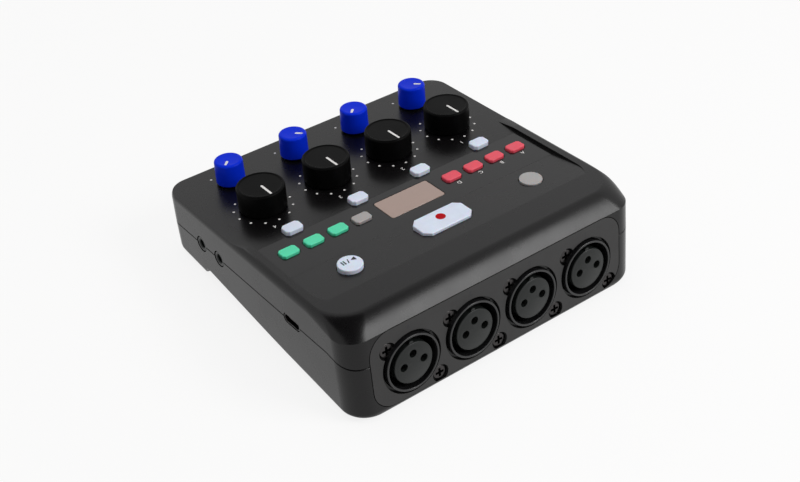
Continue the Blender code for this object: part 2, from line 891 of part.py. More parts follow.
def build_bottom_case():
    """The lower half of the case: hollow, arched between its feet, with a battery opening."""
    rings = [side_ring(-seam_depth - gap / 2)]
    rings += [foot_ring(angle) for angle in angles_to(math.pi / 2, round_steps)]
    case = piece("bottom_case", loft_mesh("bottom_case", rings), CASE_PLASTIC)
    mesh = across_mesh("belly_cut", belly_outline(0.0), case_width)
    arch = tool("belly_cut", mesh, tools_of("belly"))
    boolean(case, "DIFFERENCE", arch)
    rings = [side_ring(-seam_depth + overrun, wall)]
    rings += [foot_ring(angle, wall, floor_wall) for angle in angles_to(math.pi / 2, 2)]
    hollow = tool("bottom_hollow", loft_mesh("bottom_hollow", rings), tools_of("bottom_case_hollow"))
    mesh = across_mesh("ridge_cut", belly_outline(floor_wall), case_width)
    ridge = tool("ridge_cut", mesh, tools_of("ridge"))
    boolean(hollow, "DIFFERENCE", ridge)
    boolean(case, "DIFFERENCE", hollow)
    posts = tools_of("bottom_case_posts")
    for x in (-post_across, post_across):
        for y in post_rows:
            low = (x, y, belly_height(y) + floor_wall / 2)
            mesh = rod_mesh("post", low, (x, y, BOARD_UNDER - gap), post_radius, post_steps)
            tool("board_post", mesh, posts)
    for side in (-1, 1):
        ends = sorted((side * hinge_rail_start, side * (hinge_rail_start + hinge_rail_width)))
        low = (ends[0], hinge_rail_front, floor_wall / 2)
        high = (ends[1], hinge_rail_rear, hinge_rail_height)
        tool("hinge_rail", box_mesh("hinge_rail", low, high), posts, BELLY_FRAME)
    boolean(case, "UNION", posts)
    openings = tools_of("bottom_case_openings")
    half = door_half_width + gap
    low = (-half, 0, -overrun)
    tool("door_cut", box_mesh("door_cut", low, (half, door_length, overrun)), openings, BELLY_FRAME)
    end = hinge_rail_start + hinge_rail_width + overrun
    mesh = rod_mesh("hinge_bore", (-end, 0, 0), (end, 0, 0), door_pin_radius + gap, door_pin_steps)
    bore = tool("hinge_bore", mesh, openings, BELLY_FRAME)
    bore.location = (0, door_axis_row, door_barrel_radius)
    for x, y in foot_places():
        low = (x, y, -overrun)
        high = (x, y, foot_thickness + gap)
        mesh = rod_mesh("foot_cut", low, high, foot_radius + gap, foot_steps)
        tool("foot_cut", mesh, openings, FLOOR_FRAME)
    boolean(case, "DIFFERENCE", openings)
    boolean(case, "DIFFERENCE", PORT_CUTS)


def foot_places():
    """Where the feet are, along the floor."""
    rows = (foot_front_row, foot_rear_row)
    return [(x, y / math.cos(deck_tilt)) for y in rows for x in (-foot_across, foot_across)]


def build_feet():
    for number, (x, y) in enumerate(foot_places(), 1):
        mesh = rod_mesh(f"foot_{number}", (x, y, 0), (x, y, foot_thickness), foot_radius, foot_steps)
        piece(f"foot_{number}", mesh, RUBBER, FLOOR_FRAME)


def build_rear_plate():
    """The plate around the microphone sockets, with recesses for their screws."""
    mesh = flat_mesh("rear_plate", plate_outline(), -rear_plate_thickness, 0)
    plate = piece("rear_plate", mesh, PLATE_METAL, PLATE_FRAME)
    holes = tools_of("rear_plate_holes")
    for frame in SOCKET_FRAMES:
        low = -rear_plate_thickness - overrun
        mesh = rod_mesh("hole", (0, 0, low), (0, 0, overrun), socket_hole_radius, socket_steps)
        tool("plate_hole", mesh, holes, frame)
        for x, y in screw_places():
            mesh = rod_mesh("recess", (x, y, low), (x, y, overrun), screw_recess_radius, screw_steps)
            tool("screw_recess", mesh, holes, frame)
    boolean(plate, "DIFFERENCE", holes)


def build_sockets():
    """Four microphone sockets: a metal shell with a flange, and an insulator with three contact holes."""
    inner = -socket_shell_depth + socket_back
    flange = -rear_wall - gap
    for number, frame in enumerate(SOCKET_FRAMES, 1):
        shell = (
            (0, inner),
            (socket_bore_radius, inner),
            (socket_bore_radius, socket_lip_proud),
            (socket_shell_radius, socket_lip_proud),
            (socket_shell_radius, flange),
            (socket_flange_radius, flange),
            (socket_flange_radius, flange - socket_flange_thickness),
            (socket_shell_radius, flange - socket_flange_thickness),
            (socket_shell_radius, -socket_shell_depth),
            (0, -socket_shell_depth),
        )
        turned(f"xlr_shell_{number}", shell, socket_steps, PLATE_METAL, frame)
        insert = (
            (0, insert_proud),
            (insert_radius - insert_chamfer, insert_proud),
            (insert_radius, insert_proud - insert_chamfer),
            (insert_radius, inner + gap),
            (0, inner + gap),
        )
        made = turned(f"xlr_insert_{number}", insert, socket_steps, SOCKET_BLACK, frame)
        keys = tools_of(f"insert_{number}_key")
        low = (0, -insert_radius, insert_proud - insert_chamfer - key_depth)
        high = (0, -insert_radius, insert_proud - insert_chamfer)
        tool("insert_key", rod_mesh("insert_key", low, high, key_radius, contact_steps), keys, frame)
        boolean(made, "UNION", keys)
        holes = tools_of(f"insert_{number}_holes")
        for x, y in ((-contact_half_spacing, 0), (contact_half_spacing, 0), (0, -contact_rise)):
            low = (x, y, insert_proud - contact_hole_depth)
            mesh = rod_mesh("contact", low, (x, y, overrun), contact_hole_radius, contact_steps)
            tool("contact_hole", mesh, holes, frame)
        boolean(made, "DIFFERENCE", holes)


def knob_profile(radius, top, rounding, dish, taper, bore):
    """A knob's outline from the middle of its top, down its side and up into its bore."""
    centre = (radius - taper - rounding, top - rounding)
    corner = arc(centre, rounding, math.pi / 2, 0, knob_round_steps)
    inside = top - knob_cap
    skirt = [(radius, knob_clearance), (bore, knob_clearance), (bore, inside), (0, inside)]
    return [(0, top - dish)] + corner + skirt


def build_knob(name, number, turn, sizes, steps, finish):
    """A knob and the potentiometer shaft that it sits on, both on one turning axis."""
    row, radius, top, rounding, dish, taper, shaft, pointer_length, pointer_margin = sizes
    place = (CHANNELS[number - 1], row, 0)
    axis = empty(f"{name}_knob_{number}_axis", CASE, place, (0, 0, math.radians(turn)))
    profile = knob_profile(radius, top, rounding, dish, taper, shaft + gap)
    knob = turned(f"{name}_knob_{number}", profile, steps, finish, axis)
    group = tools_of(f"{name}_pointer_{number}")
    half = pointer_width / 2
    end = radius - pointer_margin
    low = (-half, end - pointer_length, top - pointer_depth - dish)
    tool("pointer", box_mesh("pointer", low, (half, end, top + overrun)), group, axis)
    boolean(knob, "DIFFERENCE", group)
    low = (0, 0, -deck_wall - pot_clearance - shaft_bore_depth)
    high = (0, 0, top - knob_cap - gap)
    mesh = rod_mesh(f"{name}_shaft_{number}", low, high, shaft, shaft_steps)
    piece(f"{name}_shaft_{number}", mesh, SHAFT_METAL, axis)


def build_knobs():
    level = (
        level_row,
        level_knob_radius,
        level_knob_top,
        level_knob_round,
        level_knob_dish,
        0,
        level_shaft_radius,
        level_pointer_length,
        level_pointer_margin,
    )
    phones = (
        phones_row,
        phones_knob_radius,
        phones_knob_top,
        phones_knob_round,
        phones_knob_dish,
        phones_knob_taper,
        phones_shaft_radius,
        phones_pointer_length,
        phones_pointer_margin,
    )
    for number in range(1, channel_count + 1):
        build_knob("level", number, 0.0, level, level_knob_steps, KNOB_BLACK)
        turn = phones_knob_turns[number - 1]
        build_knob("phones", number, turn, phones, phones_knob_steps, KNOB_BLUE)


def build_main_board():
    """The main board with its potentiometer bodies and one small switch under each key."""
    front = case_front + wall + board_front_gap
    low = (-board_half_width, front, BOARD_UNDER)
    high = (board_half_width, board_rear, -board_top_depth)
    board = piece("main_board", box_mesh("main_board", low, high), BOARD_GREEN)
    parts = tools_of("board_parts")
    base = -board_top_depth - board_sink
    bores = tools_of("board_bores")
    for x in CHANNELS:
        level = (level_row, level_pot_side, level_shaft_radius)
        phones = (phones_row, phones_pot_side, phones_shaft_radius)
        for row, side, shaft in (level, phones):
            half = side / 2
            top = -deck_wall - pot_clearance
            mesh = box_mesh("pot", (x - half, row - half, base), (x + half, row + half, top))
            tool("pot", mesh, parts)
            low = (x, row, top - shaft_bore_depth - gap)
            mesh = rod_mesh("pot_bore", low, (x, row, overrun), shaft + gap, shaft_steps)
            tool("pot_bore", mesh, bores)
    half = key_switch_side / 2
    for key in KEYS:
        x, y = key[2:4]
        mesh = box_mesh("switch", (x - half, y - half, base), (x + half, y + half, SWITCH_TOP))
        tool("switch", mesh, parts)
    boolean(board, "UNION", parts)
    boolean(board, "DIFFERENCE", bores)


def build_jacks():
    """Two jacks in the right side wall and four headphone jacks in the front."""
    profile = (
        (0, -jack_bore_depth),
        (jack_bore_radius, -jack_bore_depth),
        (jack_bore_radius, -jack_sink),
        (jack_radius, -jack_sink),
        (jack_radius, -jack_length),
        (0, -jack_length),
    )
    for frame in JACK_FRAMES:
        turned(frame.name.removesuffix("_frame"), profile, jack_steps, SOCKET_BLACK, frame)


def build_usb_port():
    """The charging port: a metal shell with a tongue inside."""
    outline = port_outline(usb_width, usb_height)
    port = piece("usb_port", flat_mesh("usb_port", outline, -usb_length, -jack_sink), SHAFT_METAL, USB_FRAME)
    mouth = tools_of("usb_mouth")
    outline = port_outline(usb_width, usb_height, -usb_wall)
    tool("usb_mouth", flat_mesh("usb_mouth", outline, -usb_length + usb_back, overrun), mouth, USB_FRAME)
    boolean(port, "DIFFERENCE", mouth)
    tongue = tools_of("usb_tongue")
    x = usb_tongue_height / 2
    y = usb_tongue_width / 2
    low = (-x, -y, -usb_length + usb_back / 2)
    tool("usb_tongue", box_mesh("usb_tongue", low, (x, y, -usb_tongue_sink)), tongue, USB_FRAME)
    boolean(port, "UNION", tongue)


def build_card_socket():
    """The memory card socket in the left side wall."""
    outline = port_outline(card_width, card_height)
    mesh = flat_mesh("card_socket", outline, -card_length, -jack_sink)
    socket = piece("card_socket", mesh, SHAFT_METAL, CARD_FRAME)
    slot = tools_of("card_slot")
    x = card_slot_height / 2
    y = card_slot_width / 2
    tool("card_slot", box_mesh("card_slot", (-x, -y, -card_slot_depth), (x, y, overrun)), slot, CARD_FRAME)
    boolean(socket, "DIFFERENCE", slot)


def build_battery_bay():
    """The holder for two cells, open below."""
    half = cell_length / 2 + contact_room / 2
    length = cell_radius * 4 + cell_clearance * 2
    top = floor_wall + cell_clearance * 2 + cell_radius * 2
    low = (-half - holder_wall, -holder_wall, holder_above_belly)
    high = (half + holder_wall, length + holder_wall, top + holder_ceiling)
    holder = piece("battery_holder", box_mesh("battery_holder", low, high), CASE_PLASTIC, BELLY_FRAME)
    inside = tools_of("holder_inside")
    tool("holder_inside", box_mesh("inside", (-half, 0, -overrun), (half, length, top)), inside, BELLY_FRAME)
    boolean(holder, "DIFFERENCE", inside)


def build_battery_door():
    """The battery door, with a barrel along its front edge and a pin at each end of the barrel."""
    radius = door_barrel_radius
    end = door_length - gap - door_axis_row
    start = math.asin((floor_wall - radius) / radius)
    barrel = arc((0, 0), radius, -math.pi / 2, start - 2 * math.pi, door_barrel_steps)
    outline = [(end, -radius), *barrel, (end, floor_wall - radius)]
    hinge = empty("battery_door_hinge", BELLY_FRAME, (0, door_axis_row, radius))
    door = piece("battery_door", across_mesh("battery_door", outline, door_half_width), CASE_PLASTIC, hinge)
    pins = tools_of("door_pins")
    for side in (-1, 1):
        inner = (side * (door_half_width - gap), 0, 0)
        outer = (side * (door_half_width + door_pin_length), 0, 0)
        mesh = rod_mesh("door_pin", inner, outer, door_pin_radius, door_pin_steps)
        tool("door_pin", mesh, pins, hinge)
    boolean(door, "UNION", pins)
    groove = tools_of("door_groove")
    rear = end - door_finger_length
    low = (-door_finger_width / 2, rear - door_finger_length, -radius - overrun)
    high = (door_finger_width / 2, rear, -radius + door_finger_depth)
    tool("door_groove", box_mesh("groove", low, high), groove, hinge)
    boolean(door, "DIFFERENCE", groove)


def stand_on_floor():
    """Lifts the tipped case so that its feet stand on the floor, centred over the origin."""
    CASE.location = (0, -case_centre, deck_above_floor * math.cos(deck_tilt))


build_top_case()
build_control_panel()
build_bottom_case()
build_feet()
build_rear_plate()
build_sockets()
build_knobs()
for one_key in KEYS:
    build_key(*one_key)
build_main_board()
build_jacks()
build_usb_port()
build_card_socket()
build_battery_bay()
build_battery_door()
stand_on_floor()
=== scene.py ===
"""Dresses the podcast mixer's frame with finely shaped and finished pieces, and sets a studio stage."""

import json
import math

import bmesh
import bpy
import numpy as np
from bpy.props import FloatProperty, FloatVectorProperty, PointerProperty
from mathutils import Matrix, Vector


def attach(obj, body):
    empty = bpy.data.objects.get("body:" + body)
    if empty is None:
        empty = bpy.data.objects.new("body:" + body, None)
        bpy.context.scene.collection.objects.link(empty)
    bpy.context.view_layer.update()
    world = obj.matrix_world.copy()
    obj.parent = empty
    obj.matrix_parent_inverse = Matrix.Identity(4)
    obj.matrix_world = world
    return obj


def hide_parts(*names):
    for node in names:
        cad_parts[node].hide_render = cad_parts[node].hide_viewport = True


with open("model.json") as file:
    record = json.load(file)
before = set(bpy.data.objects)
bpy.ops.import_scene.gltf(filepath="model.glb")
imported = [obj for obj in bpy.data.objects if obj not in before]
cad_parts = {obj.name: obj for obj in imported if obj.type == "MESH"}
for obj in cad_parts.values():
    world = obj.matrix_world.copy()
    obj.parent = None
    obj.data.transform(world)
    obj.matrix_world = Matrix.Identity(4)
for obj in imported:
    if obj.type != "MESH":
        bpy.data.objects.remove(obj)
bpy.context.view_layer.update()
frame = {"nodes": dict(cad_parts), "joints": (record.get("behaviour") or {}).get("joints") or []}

bl_info = {
    "name": "Podcast mixer",
    "version": (1, 0, 0),
    "blender": (4, 5, 0),
    "location": "3D View > Sidebar > Mixer",
    "description": "Builds the shown pieces of a four channel podcast mixer",
    "category": "Object",
}

# Case shape in metres. The case frame has z square to the knob deck and y towards the sockets.
LEVEL_ROW = -0.0200
RIM_HEIGHT = 0.0012
RIM_INSET = 0.0022
RIM_FRONT_INSET = 0.0014
RIM_REAR = 0.0533
RAMP_START = -0.0090
FRONT_RADIUS = 0.0083
REAR_RADIUS = 0.0085
DECK_FRONT_RADIUS = 0.0070
DECK_REAR_RADIUS = 0.0120
SIDE_DROP = 0.0018
REAR_DROP = 0.0046
BLEND_START = 0.038
BLEND_END = 0.0575
REAR_POWER = 1.645
SEAM_DEPTH = 0.0122
SEAM_FALL = 0.0030
SEAM_FALL_START = 0.050
RECESS_SIDE = 0.0046
RECESS_CORNER = 0.0110
RECESS_FLAT_END = 0.0232
RECESS_END = 0.0425
WALL = 0.0020
DECK_WALL = 0.0024
REAR_WALL = 0.0036
FLOOR_WALL = 0.0018
GAP = 0.0003
OVERRUN = 0.004
FACE_LEAN = math.radians(3.7)
FACE_Y = 0.06255
FACE_DEPTH = 0.0216
DECK_ABOVE_FLOOR = 0.0316
FOOT_STANDOUT = 0.0008
SIDE_ROUND = 0.0050
FRONT_ROUND = 0.0035
REAR_ROUND = 0.0015
BOTTOM_DRAFT = 0.0002
BELLY_FRONT = -0.0290
BELLY_REAR = 0.0270
BELLY_FRONT_DEPTH = 0.0227
BELLY_REAR_DEPTH = 0.0308
BELLY_FRONT_RUN = 0.0060
BELLY_REAR_RUN = 0.0115
BELLY_SLOPE = (BELLY_FRONT_DEPTH - BELLY_REAR_DEPTH) / (BELLY_REAR - BELLY_FRONT)
BAY_FRONT = -0.0030

CORNER_STEPS = 14
SIDE_SHARES = np.array((0.25, 0.50, 0.62, 0.68, 0.72, 0.76, 0.80, 0.84, 0.87, 0.90, 0.93, 0.96))
QUARTER = math.pi / 2
CHANNELS = range(1, 5)

JOINTS = {joint["name"]: joint for joint in frame["joints"]}


def case_place():
    """The case's frame in the row frame, from the place and lean of the first level knob's axis."""
    joint = JOINTS["level_1_turn"]
    axis = Vector(joint["axis"])
    turn = Matrix.Rotation(math.atan2(-axis.y, axis.z), 4, "X")
    place = Vector(joint["pos_m"])
    corner = place - turn @ Vector((place.x, LEVEL_ROW, 0))
    return Matrix.Translation(corner) @ turn


CASE = case_place()
TILT = CASE.to_euler().x


def moved(x, y, z, turn_x=0.0, turn_y=0.0, turn_z=0.0):
    """A frame inside the case's frame: a place, then turns about x, y and z in that order."""
    turns = Matrix.Rotation(turn_x, 4, "X") @ Matrix.Rotation(turn_y, 4, "Y")
    return CASE @ Matrix.Translation((x, y, z)) @ (turns @ Matrix.Rotation(turn_z, 4, "Z"))


FACE = moved(0, FACE_Y, -FACE_DEPTH, turn_x=FACE_LEAN - QUARTER)
BELLY = moved(
    0,
    BAY_FRONT,
    -BELLY_FRONT_DEPTH + BELLY_SLOPE * (BAY_FRONT - BELLY_FRONT),
    turn_x=math.atan(BELLY_SLOPE),
)
FLOOR = moved(0, 0, -DECK_ABOVE_FLOOR, turn_x=-TILT)


def points_in(place, mesh):
    """A mesh's vertices, measured along the axes of another frame."""
    points = np.empty(len(mesh.vertices) * 3, np.float32)
    mesh.vertices.foreach_get("co", points)
    into = np.array(place.inverted())
    return points.reshape(-1, 3) @ into[:3, :3].T + into[:3, 3]


def box_in(place, node):
    """Lowest and highest corners of a CAD node, measured along the axes of another frame."""
    points = points_in(place, frame["nodes"][node].data)
    return points.min(axis=0), points.max(axis=0)


def centre_in(place, node):
    low, high = box_in(place, node)
    return (low + high) / 2


CASE_LOW, CASE_HIGH = box_in(CASE, "top_case")
CASE_HALF = float(CASE_HIGH[0])
# The round shoulder passes a little outside the solid's flat faces, so the front stands back by that.
SHOULDER_ALLOWANCE = 0.00003
CASE_FRONT = float(CASE_LOW[1]) + SHOULDER_ALLOWANCE
RECESS_HALF = CASE_HALF - RECESS_SIDE
SOCKET_X = [float(centre_in(CASE, f"xlr_shell_{number}")[0]) for number in CHANNELS]
CHANNEL_X = [float(JOINTS[f"level_{number}_turn"]["pos_m"][0]) for number in CHANNELS]
PHONES_ROW = float(centre_in(CASE, "phones_knob_1")[1])
SMALL_KEYS = [f"pad_button_{number}" for number in CHANNELS] + ["menu_button"]
SMALL_KEYS += [f"function_button_{number}" for number in range(1, 4)]
MUTE_KEYS = [f"mute_button_{number}" for number in CHANNELS]
SIDE_PORTS = ("side_jack_1", "side_jack_2")
FRONT_PORTS = tuple(f"headphone_jack_{number}" for number in CHANNELS)


def linear(colour):
    """The linear red, green and blue of an sRGB colour written as six hex digits."""
    shares = np.array([int(colour[start : start + 2], 16) for start in (0, 2, 4)]) / 255
    low = shares / 12.92
    high = ((shares + 0.055) / 1.055) ** 2.4
    return tuple(float(value) for value in np.where(shares <= 0.04045, low, high))


def length(name, description, default):
    return FloatProperty(
        name=name, description=description, default=default, unit="LENGTH", subtype="DISTANCE"
    )


def power(name, description, default):
    return FloatProperty(name=name, description=description, default=default, unit="POWER")


def colour(name, description, default):
    return FloatVectorProperty(
        name=name, description=description, default=linear(default), size=3, min=0, max=1, subtype="COLOR"
    )


class MixerSizes(bpy.types.PropertyGroup):
    """Fine sizes of the shown pieces."""

    key_edge: length("Key edge", "Radius along the top edge of the rubber keys", 0.00045)
    sheet_edge: length("Sheet edge", "Bevel along the edges of the control strip", 0.00003)
    plate_edge: length("Plate edge", "Rounding along the edges of the socket plate", 0.0005)
    knob_rim: length("Knob rim", "Width of the raised ring round the top of a level knob", 0.0012)
    knob_dish: length("Knob dish", "How far the top of a level knob is dished", 0.00018)
    groove_width: length("Pointer width", "Width of the white line in a knob", 0.00095)
    dot_size: length("Dot size", "Diameter of the printed dots round the knobs", 0.0009)
    print_height: length("Print height", "Height of the printed digits and letters", 0.0017)


class MixerColours(bpy.types.PropertyGroup):
    """Colours of the finishes."""

    case: colour("Case", "Black moulded case", "0b0a0b")
    strip: colour("Control strip", "Smooth sheet round the keys", "0c0b0c")
    plate: colour("Socket plate", "Coated plate round the sockets", "171616")
    level_knob: colour("Level knob", "Black knob", "050505")
    phones_knob: colour("Headphone knob", "Blue knob", "062ed7")
    green: colour("Green keys", "Translucent green rubber", "58deb0")
    white: colour("White keys", "Translucent white rubber", "dee6f7")
    red: colour("Pads", "Translucent coral rubber", "e65263")
    grey: colour("Grey keys", "Warm grey rubber", "a8a5a4")
    ink: colour("White ink", "Printed dots and digits", "e8e6e4")
    display: colour("Display", "Unlit display behind its window", "96796b")


class StageSettings(bpy.types.PropertyGroup):
    """The lights of the stage."""

    key_power: power("Key light", "Power of the small soft light beside the sockets", 5.0)
    fill_power: power("Fill light", "Power of the overhead light", 5.5)
    surround: FloatProperty(name="Surround", description="Strength of the light all round", default=0.25)


# Shapes as arrays


def arc(x, y, radius, start, end, steps):
    """Points x + radius cos a, y + radius sin a, with a running from start to end."""
    angle = np.linspace(start, end, steps + 1)
    return np.stack((x + radius * np.cos(angle), y + radius * np.sin(angle)), -1)


def rounded(corners, radius, steps=4):
    """A polygon with each corner replaced by an arc.

    The arc's centre lies on the corner's bisector, the radius over the sine of the half angle away.
    """
    corners = np.asarray(corners, float)
    back = np.roll(corners, 1, axis=0) - corners
    ahead = np.roll(corners, -1, axis=0) - corners
    back /= np.linalg.norm(back, axis=1, keepdims=True)
    ahead /= np.linalg.norm(ahead, axis=1, keepdims=True)
    half = np.arccos(np.clip((back * ahead).sum(axis=1), -1, 1)) / 2
    middle = back + ahead
    middle /= np.linalg.norm(middle, axis=1, keepdims=True)
    centre = corners + middle * (radius / np.sin(half))[:, None]
    start = corners + back * (radius / np.tan(half))[:, None] - centre
    end = corners + ahead * (radius / np.tan(half))[:, None] - centre
    first = np.arctan2(start[:, 1], start[:, 0])
    sweep = (np.arctan2(end[:, 1], end[:, 0]) - first + math.pi) % (2 * math.pi) - math.pi
    angle = first[:, None] + sweep[:, None] * np.linspace(0, 1, steps + 1)
    ring = np.stack((np.cos(angle), np.sin(angle)), -1) * radius
    return (centre[:, None, :] + ring).reshape(-1, 2)


def rectangle(half_x, half_y, x=0.0, y=0.0):
    corners = np.array(((-1, -1), (1, -1), (1, 1), (-1, 1)))
    return corners * (half_x, half_y) + (x, y)


def octagon(half_x, half_y, corner, grow=0.0):
    """A rectangle with its corners cut off, grown evenly outwards."""
    x = half_x + grow
    y = half_y + grow
    cut = corner + grow * (2 - math.sqrt(2))
    right = ((x - cut, -y), (x, cut - y), (x, y - cut), (x - cut, y))
    return np.array(right + tuple((-px, -py) for px, py in right))


def circle(radius, steps=64):
    return arc(0, 0, radius, 0, 2 * math.pi, steps)[:-1]


def slot_shape(half_width, start, end, steps=8):
    """A slot with round ends along y, from start to end."""
    first = arc(0, start + half_width, half_width, math.pi, 2 * math.pi, steps)
    last = arc(0, end - half_width, half_width, 0, math.pi, steps)
    return np.concatenate((first, last))


def rings(*levels):
    """Rows of a grid, each a flat outline at one height."""
    rows = [np.column_stack((outline, np.full(len(outline), height))) for outline, height in levels]
    return np.stack(rows)


def turned(profile, steps=96):
    """A profile of radius, height rows carried round z: x = radius cos a, y = radius sin a."""
    profile = np.asarray(profile, float)
    angle = np.linspace(0, 2 * math.pi, steps, endpoint=False)
    grid = np.empty((len(profile), steps, 3))
    grid[..., 0] = profile[:, :1] * np.cos(angle)
    grid[..., 1] = profile[:, :1] * np.sin(angle)
    grid[..., 2] = profile[:, 1:]
    return grid


def smooth_step(value, start, end):
    """0 before start, 1 after end, and 3 s squared less 2 s cubed between."""
    share = np.clip((value - start) / (end - start), 0, 1)
    return share * share * (3 - 2 * share)


def face_y(height):
    """Where the leaning socket face lies at a height."""
    return FACE_Y - (height + FACE_DEPTH) * math.tan(FACE_LEAN)


def floor_height(y):
    """The table's height under the tilted case."""
    return -DECK_ABOVE_FLOOR - y * math.tan(TILT)


def belly_height(y):
    return -BELLY_FRONT_DEPTH + BELLY_SLOPE * (y - BELLY_FRONT)


def case_outline(half, front, rear, front_radius, rear_radius):
    """The case seen from above: four corner arcs, with extra rows along the straight sides."""
    x, y = half - front_radius, front + front_radius
    first = arc(x, y, front_radius, 3 * QUARTER, 4 * QUARTER, CORNER_STEPS)
    last = arc(half - rear_radius, rear - rear_radius, rear_radius, 0, QUARTER, CORNER_STEPS)
    side = first[-1] + (last[0] - first[-1]) * SIDE_SHARES[:, None]
    right = np.concatenate((first, side, last))
    return np.concatenate((right, right[::-1] * (-1, 1)))


def shoulder_rows(angles):
    """Rows from the rim's edge to the case's side.

    Each row is the case outline between the rim's and the side's, by the sine of its angle. Its fall is
    a circle's on the sides, and a power of the sine towards the socket face.
    """
    rows = []
    for angle in angles:
        share = math.sin(angle)
        outline = case_outline(
            CASE_HALF - RIM_INSET * (1 - share),
            CASE_FRONT + RIM_FRONT_INSET * (1 - share),
            RIM_REAR + (face_y(-REAR_DROP) - RIM_REAR) * share,
            DECK_FRONT_RADIUS + (FRONT_RADIUS - DECK_FRONT_RADIUS) * share,
            DECK_REAR_RADIUS + (REAR_RADIUS - DECK_REAR_RADIUS) * share,
        )
        blend = smooth_step(outline[:, 1], BLEND_START, BLEND_END)
        drop = RIM_HEIGHT + SIDE_DROP + (REAR_DROP - SIDE_DROP) * blend
        drop_share = (1 - math.cos(angle)) * (1 - blend) + share**REAR_POWER * blend
        rows.append(np.column_stack((outline, RIM_HEIGHT - drop * drop_share)))
    return np.stack(rows)


def side_rows(heights, inset=0.0):
    """Rows down the case's outer wall, or a wall's thickness inside it."""
    outlines = []
    for height in heights:
        rear = face_y(height) - inset * REAR_WALL / WALL
        radii = (FRONT_RADIUS - inset, REAR_RADIUS - inset)
        outlines.append((case_outline(CASE_HALF - inset, CASE_FRONT + inset, rear, *radii), height))
    return rings(*outlines)


def seam_row(above, inset=0.0):
    """The row at the seam, which falls towards the socket face by a smooth step."""
    low = -SEAM_DEPTH - SEAM_FALL
    rear = face_y(low) - inset
    outline = case_outline(CASE_HALF - inset, CASE_FRONT + inset, rear, FRONT_RADIUS, REAR_RADIUS)
    height = above - SEAM_DEPTH - SEAM_FALL * smooth_step(outline[:, 1], SEAM_FALL_START, FACE_Y)
    return np.column_stack((outline, height))[None]


def foot_rows(angles, inset=0.0, rise=0.0):
    """Rows round the rounded edge between the sides and the underside, parallel to the table."""
    rows = []
    for angle in angles:
        turn = 1 - math.cos(angle)
        drop = 1 - math.sin(angle)
        rear_height = floor_height(FACE_Y) + FOOT_STANDOUT + rise + REAR_ROUND * 2 * drop
        rear_inset = inset * REAR_WALL / WALL if inset else REAR_ROUND * turn
        outline = case_outline(
            CASE_HALF - BOTTOM_DRAFT - SIDE_ROUND * turn - inset,
            CASE_FRONT + BOTTOM_DRAFT + FRONT_ROUND * turn + inset,
            face_y(rear_height) - rear_inset,
            FRONT_RADIUS - inset,
            REAR_RADIUS - inset,
        )
        edge = FRONT_ROUND + (REAR_ROUND * 2 - FRONT_ROUND) * smooth_step(outline[:, 1], BELLY_REAR, FACE_Y)
        height = floor_height(outline[:, 1]) + FOOT_STANDOUT + rise + edge * drop
        rows.append(np.column_stack((outline, height)))
    return np.stack(rows)


def belly_outline(inset, steps=20):
    """The arch under the case in y and z: two smooth steps and the straight belly between them."""
    share = np.linspace(0, 1, steps + 1)
    ease = smooth_step(share, 0, 1)
    front_low = floor_height(BELLY_FRONT - BELLY_FRONT_RUN)
    rear_low = floor_height(BELLY_REAR + BELLY_REAR_RUN)
    front = np.column_stack(
        (
            BELLY_FRONT - BELLY_FRONT_RUN * (1 - share) - inset,
            front_low + (belly_height(BELLY_FRONT) - front_low) * ease + inset,
        )
    )
    rear = np.column_stack(
        (
            BELLY_REAR + BELLY_REAR_RUN * share + inset,
            belly_height(BELLY_REAR) + (rear_low - belly_height(BELLY_REAR)) * ease + inset,
        )
    )
    below = -DECK_ABOVE_FLOOR - OVERRUN * 3
    return np.concatenate(([(front[0, 0], below)], front, rear, [(rear[-1, 0], below)]))


# Meshes


def mesh_from(points, faces):
    """A mesh with its doubles merged and its faces turned outwards."""
    mesh = bpy.data.meshes.new("shape")
    mesh.from_pydata(points.tolist(), [], faces)
    shape = bmesh.new()
    shape.from_mesh(mesh)
    bmesh.ops.remove_doubles(shape, verts=shape.verts, dist=1e-7)
    bmesh.ops.recalc_face_normals(shape, faces=shape.faces)
    shape.to_mesh(mesh)
    shape.free()
    return mesh


def skin(grid, place=None, caps=True):
    """A closed surface through the rows of a grid, whose rows are loops.

    Point (row, column) joins (row, column + 1) and (row + 1, column), and one face closes each end.
    """
    rows, columns = grid.shape[:2]
    index = np.arange(rows * columns).reshape(rows, columns)
    after = np.roll(index, -1, axis=1)
    faces = np.stack((index[:-1], after[:-1], after[1:], index[1:]), axis=-1).reshape(-1, 4).tolist()
    if caps:
        faces += [index[0, ::-1].tolist(), index[-1].tolist()]
    mesh = mesh_from(grid.reshape(-1, 3), faces)
    if place:
        mesh.transform(place)
    return mesh


def prism(outline, low, high, place=None):
    """A flat outline made thick from low to high."""
    return skin(rings((outline, low), (outline, high)), place)


# Carries an outline's x, y and height to y, z and x
ALONG_X = Matrix(((0, 0, 1, 0), (1, 0, 0, 0), (0, 1, 0, 0), (0, 0, 0, 1)))


def shift(x, y, z=0.0):
    return Matrix.Translation((x, y, z))


def joined(meshes):
    """Several meshes as one."""
    shape = bmesh.new()
    for mesh in meshes:
        shape.from_mesh(mesh)
        bpy.data.meshes.remove(mesh)
    made = bpy.data.meshes.new("joined")
    shape.to_mesh(made)
    shape.free()
    return made


def copies(mesh, places):
    """The mesh at each place, as one mesh."""
    made = []
    for place in places:
        other = mesh.copy()
        other.transform(place)
        made.append(other)
    bpy.data.meshes.remove(mesh)
    return joined(made)


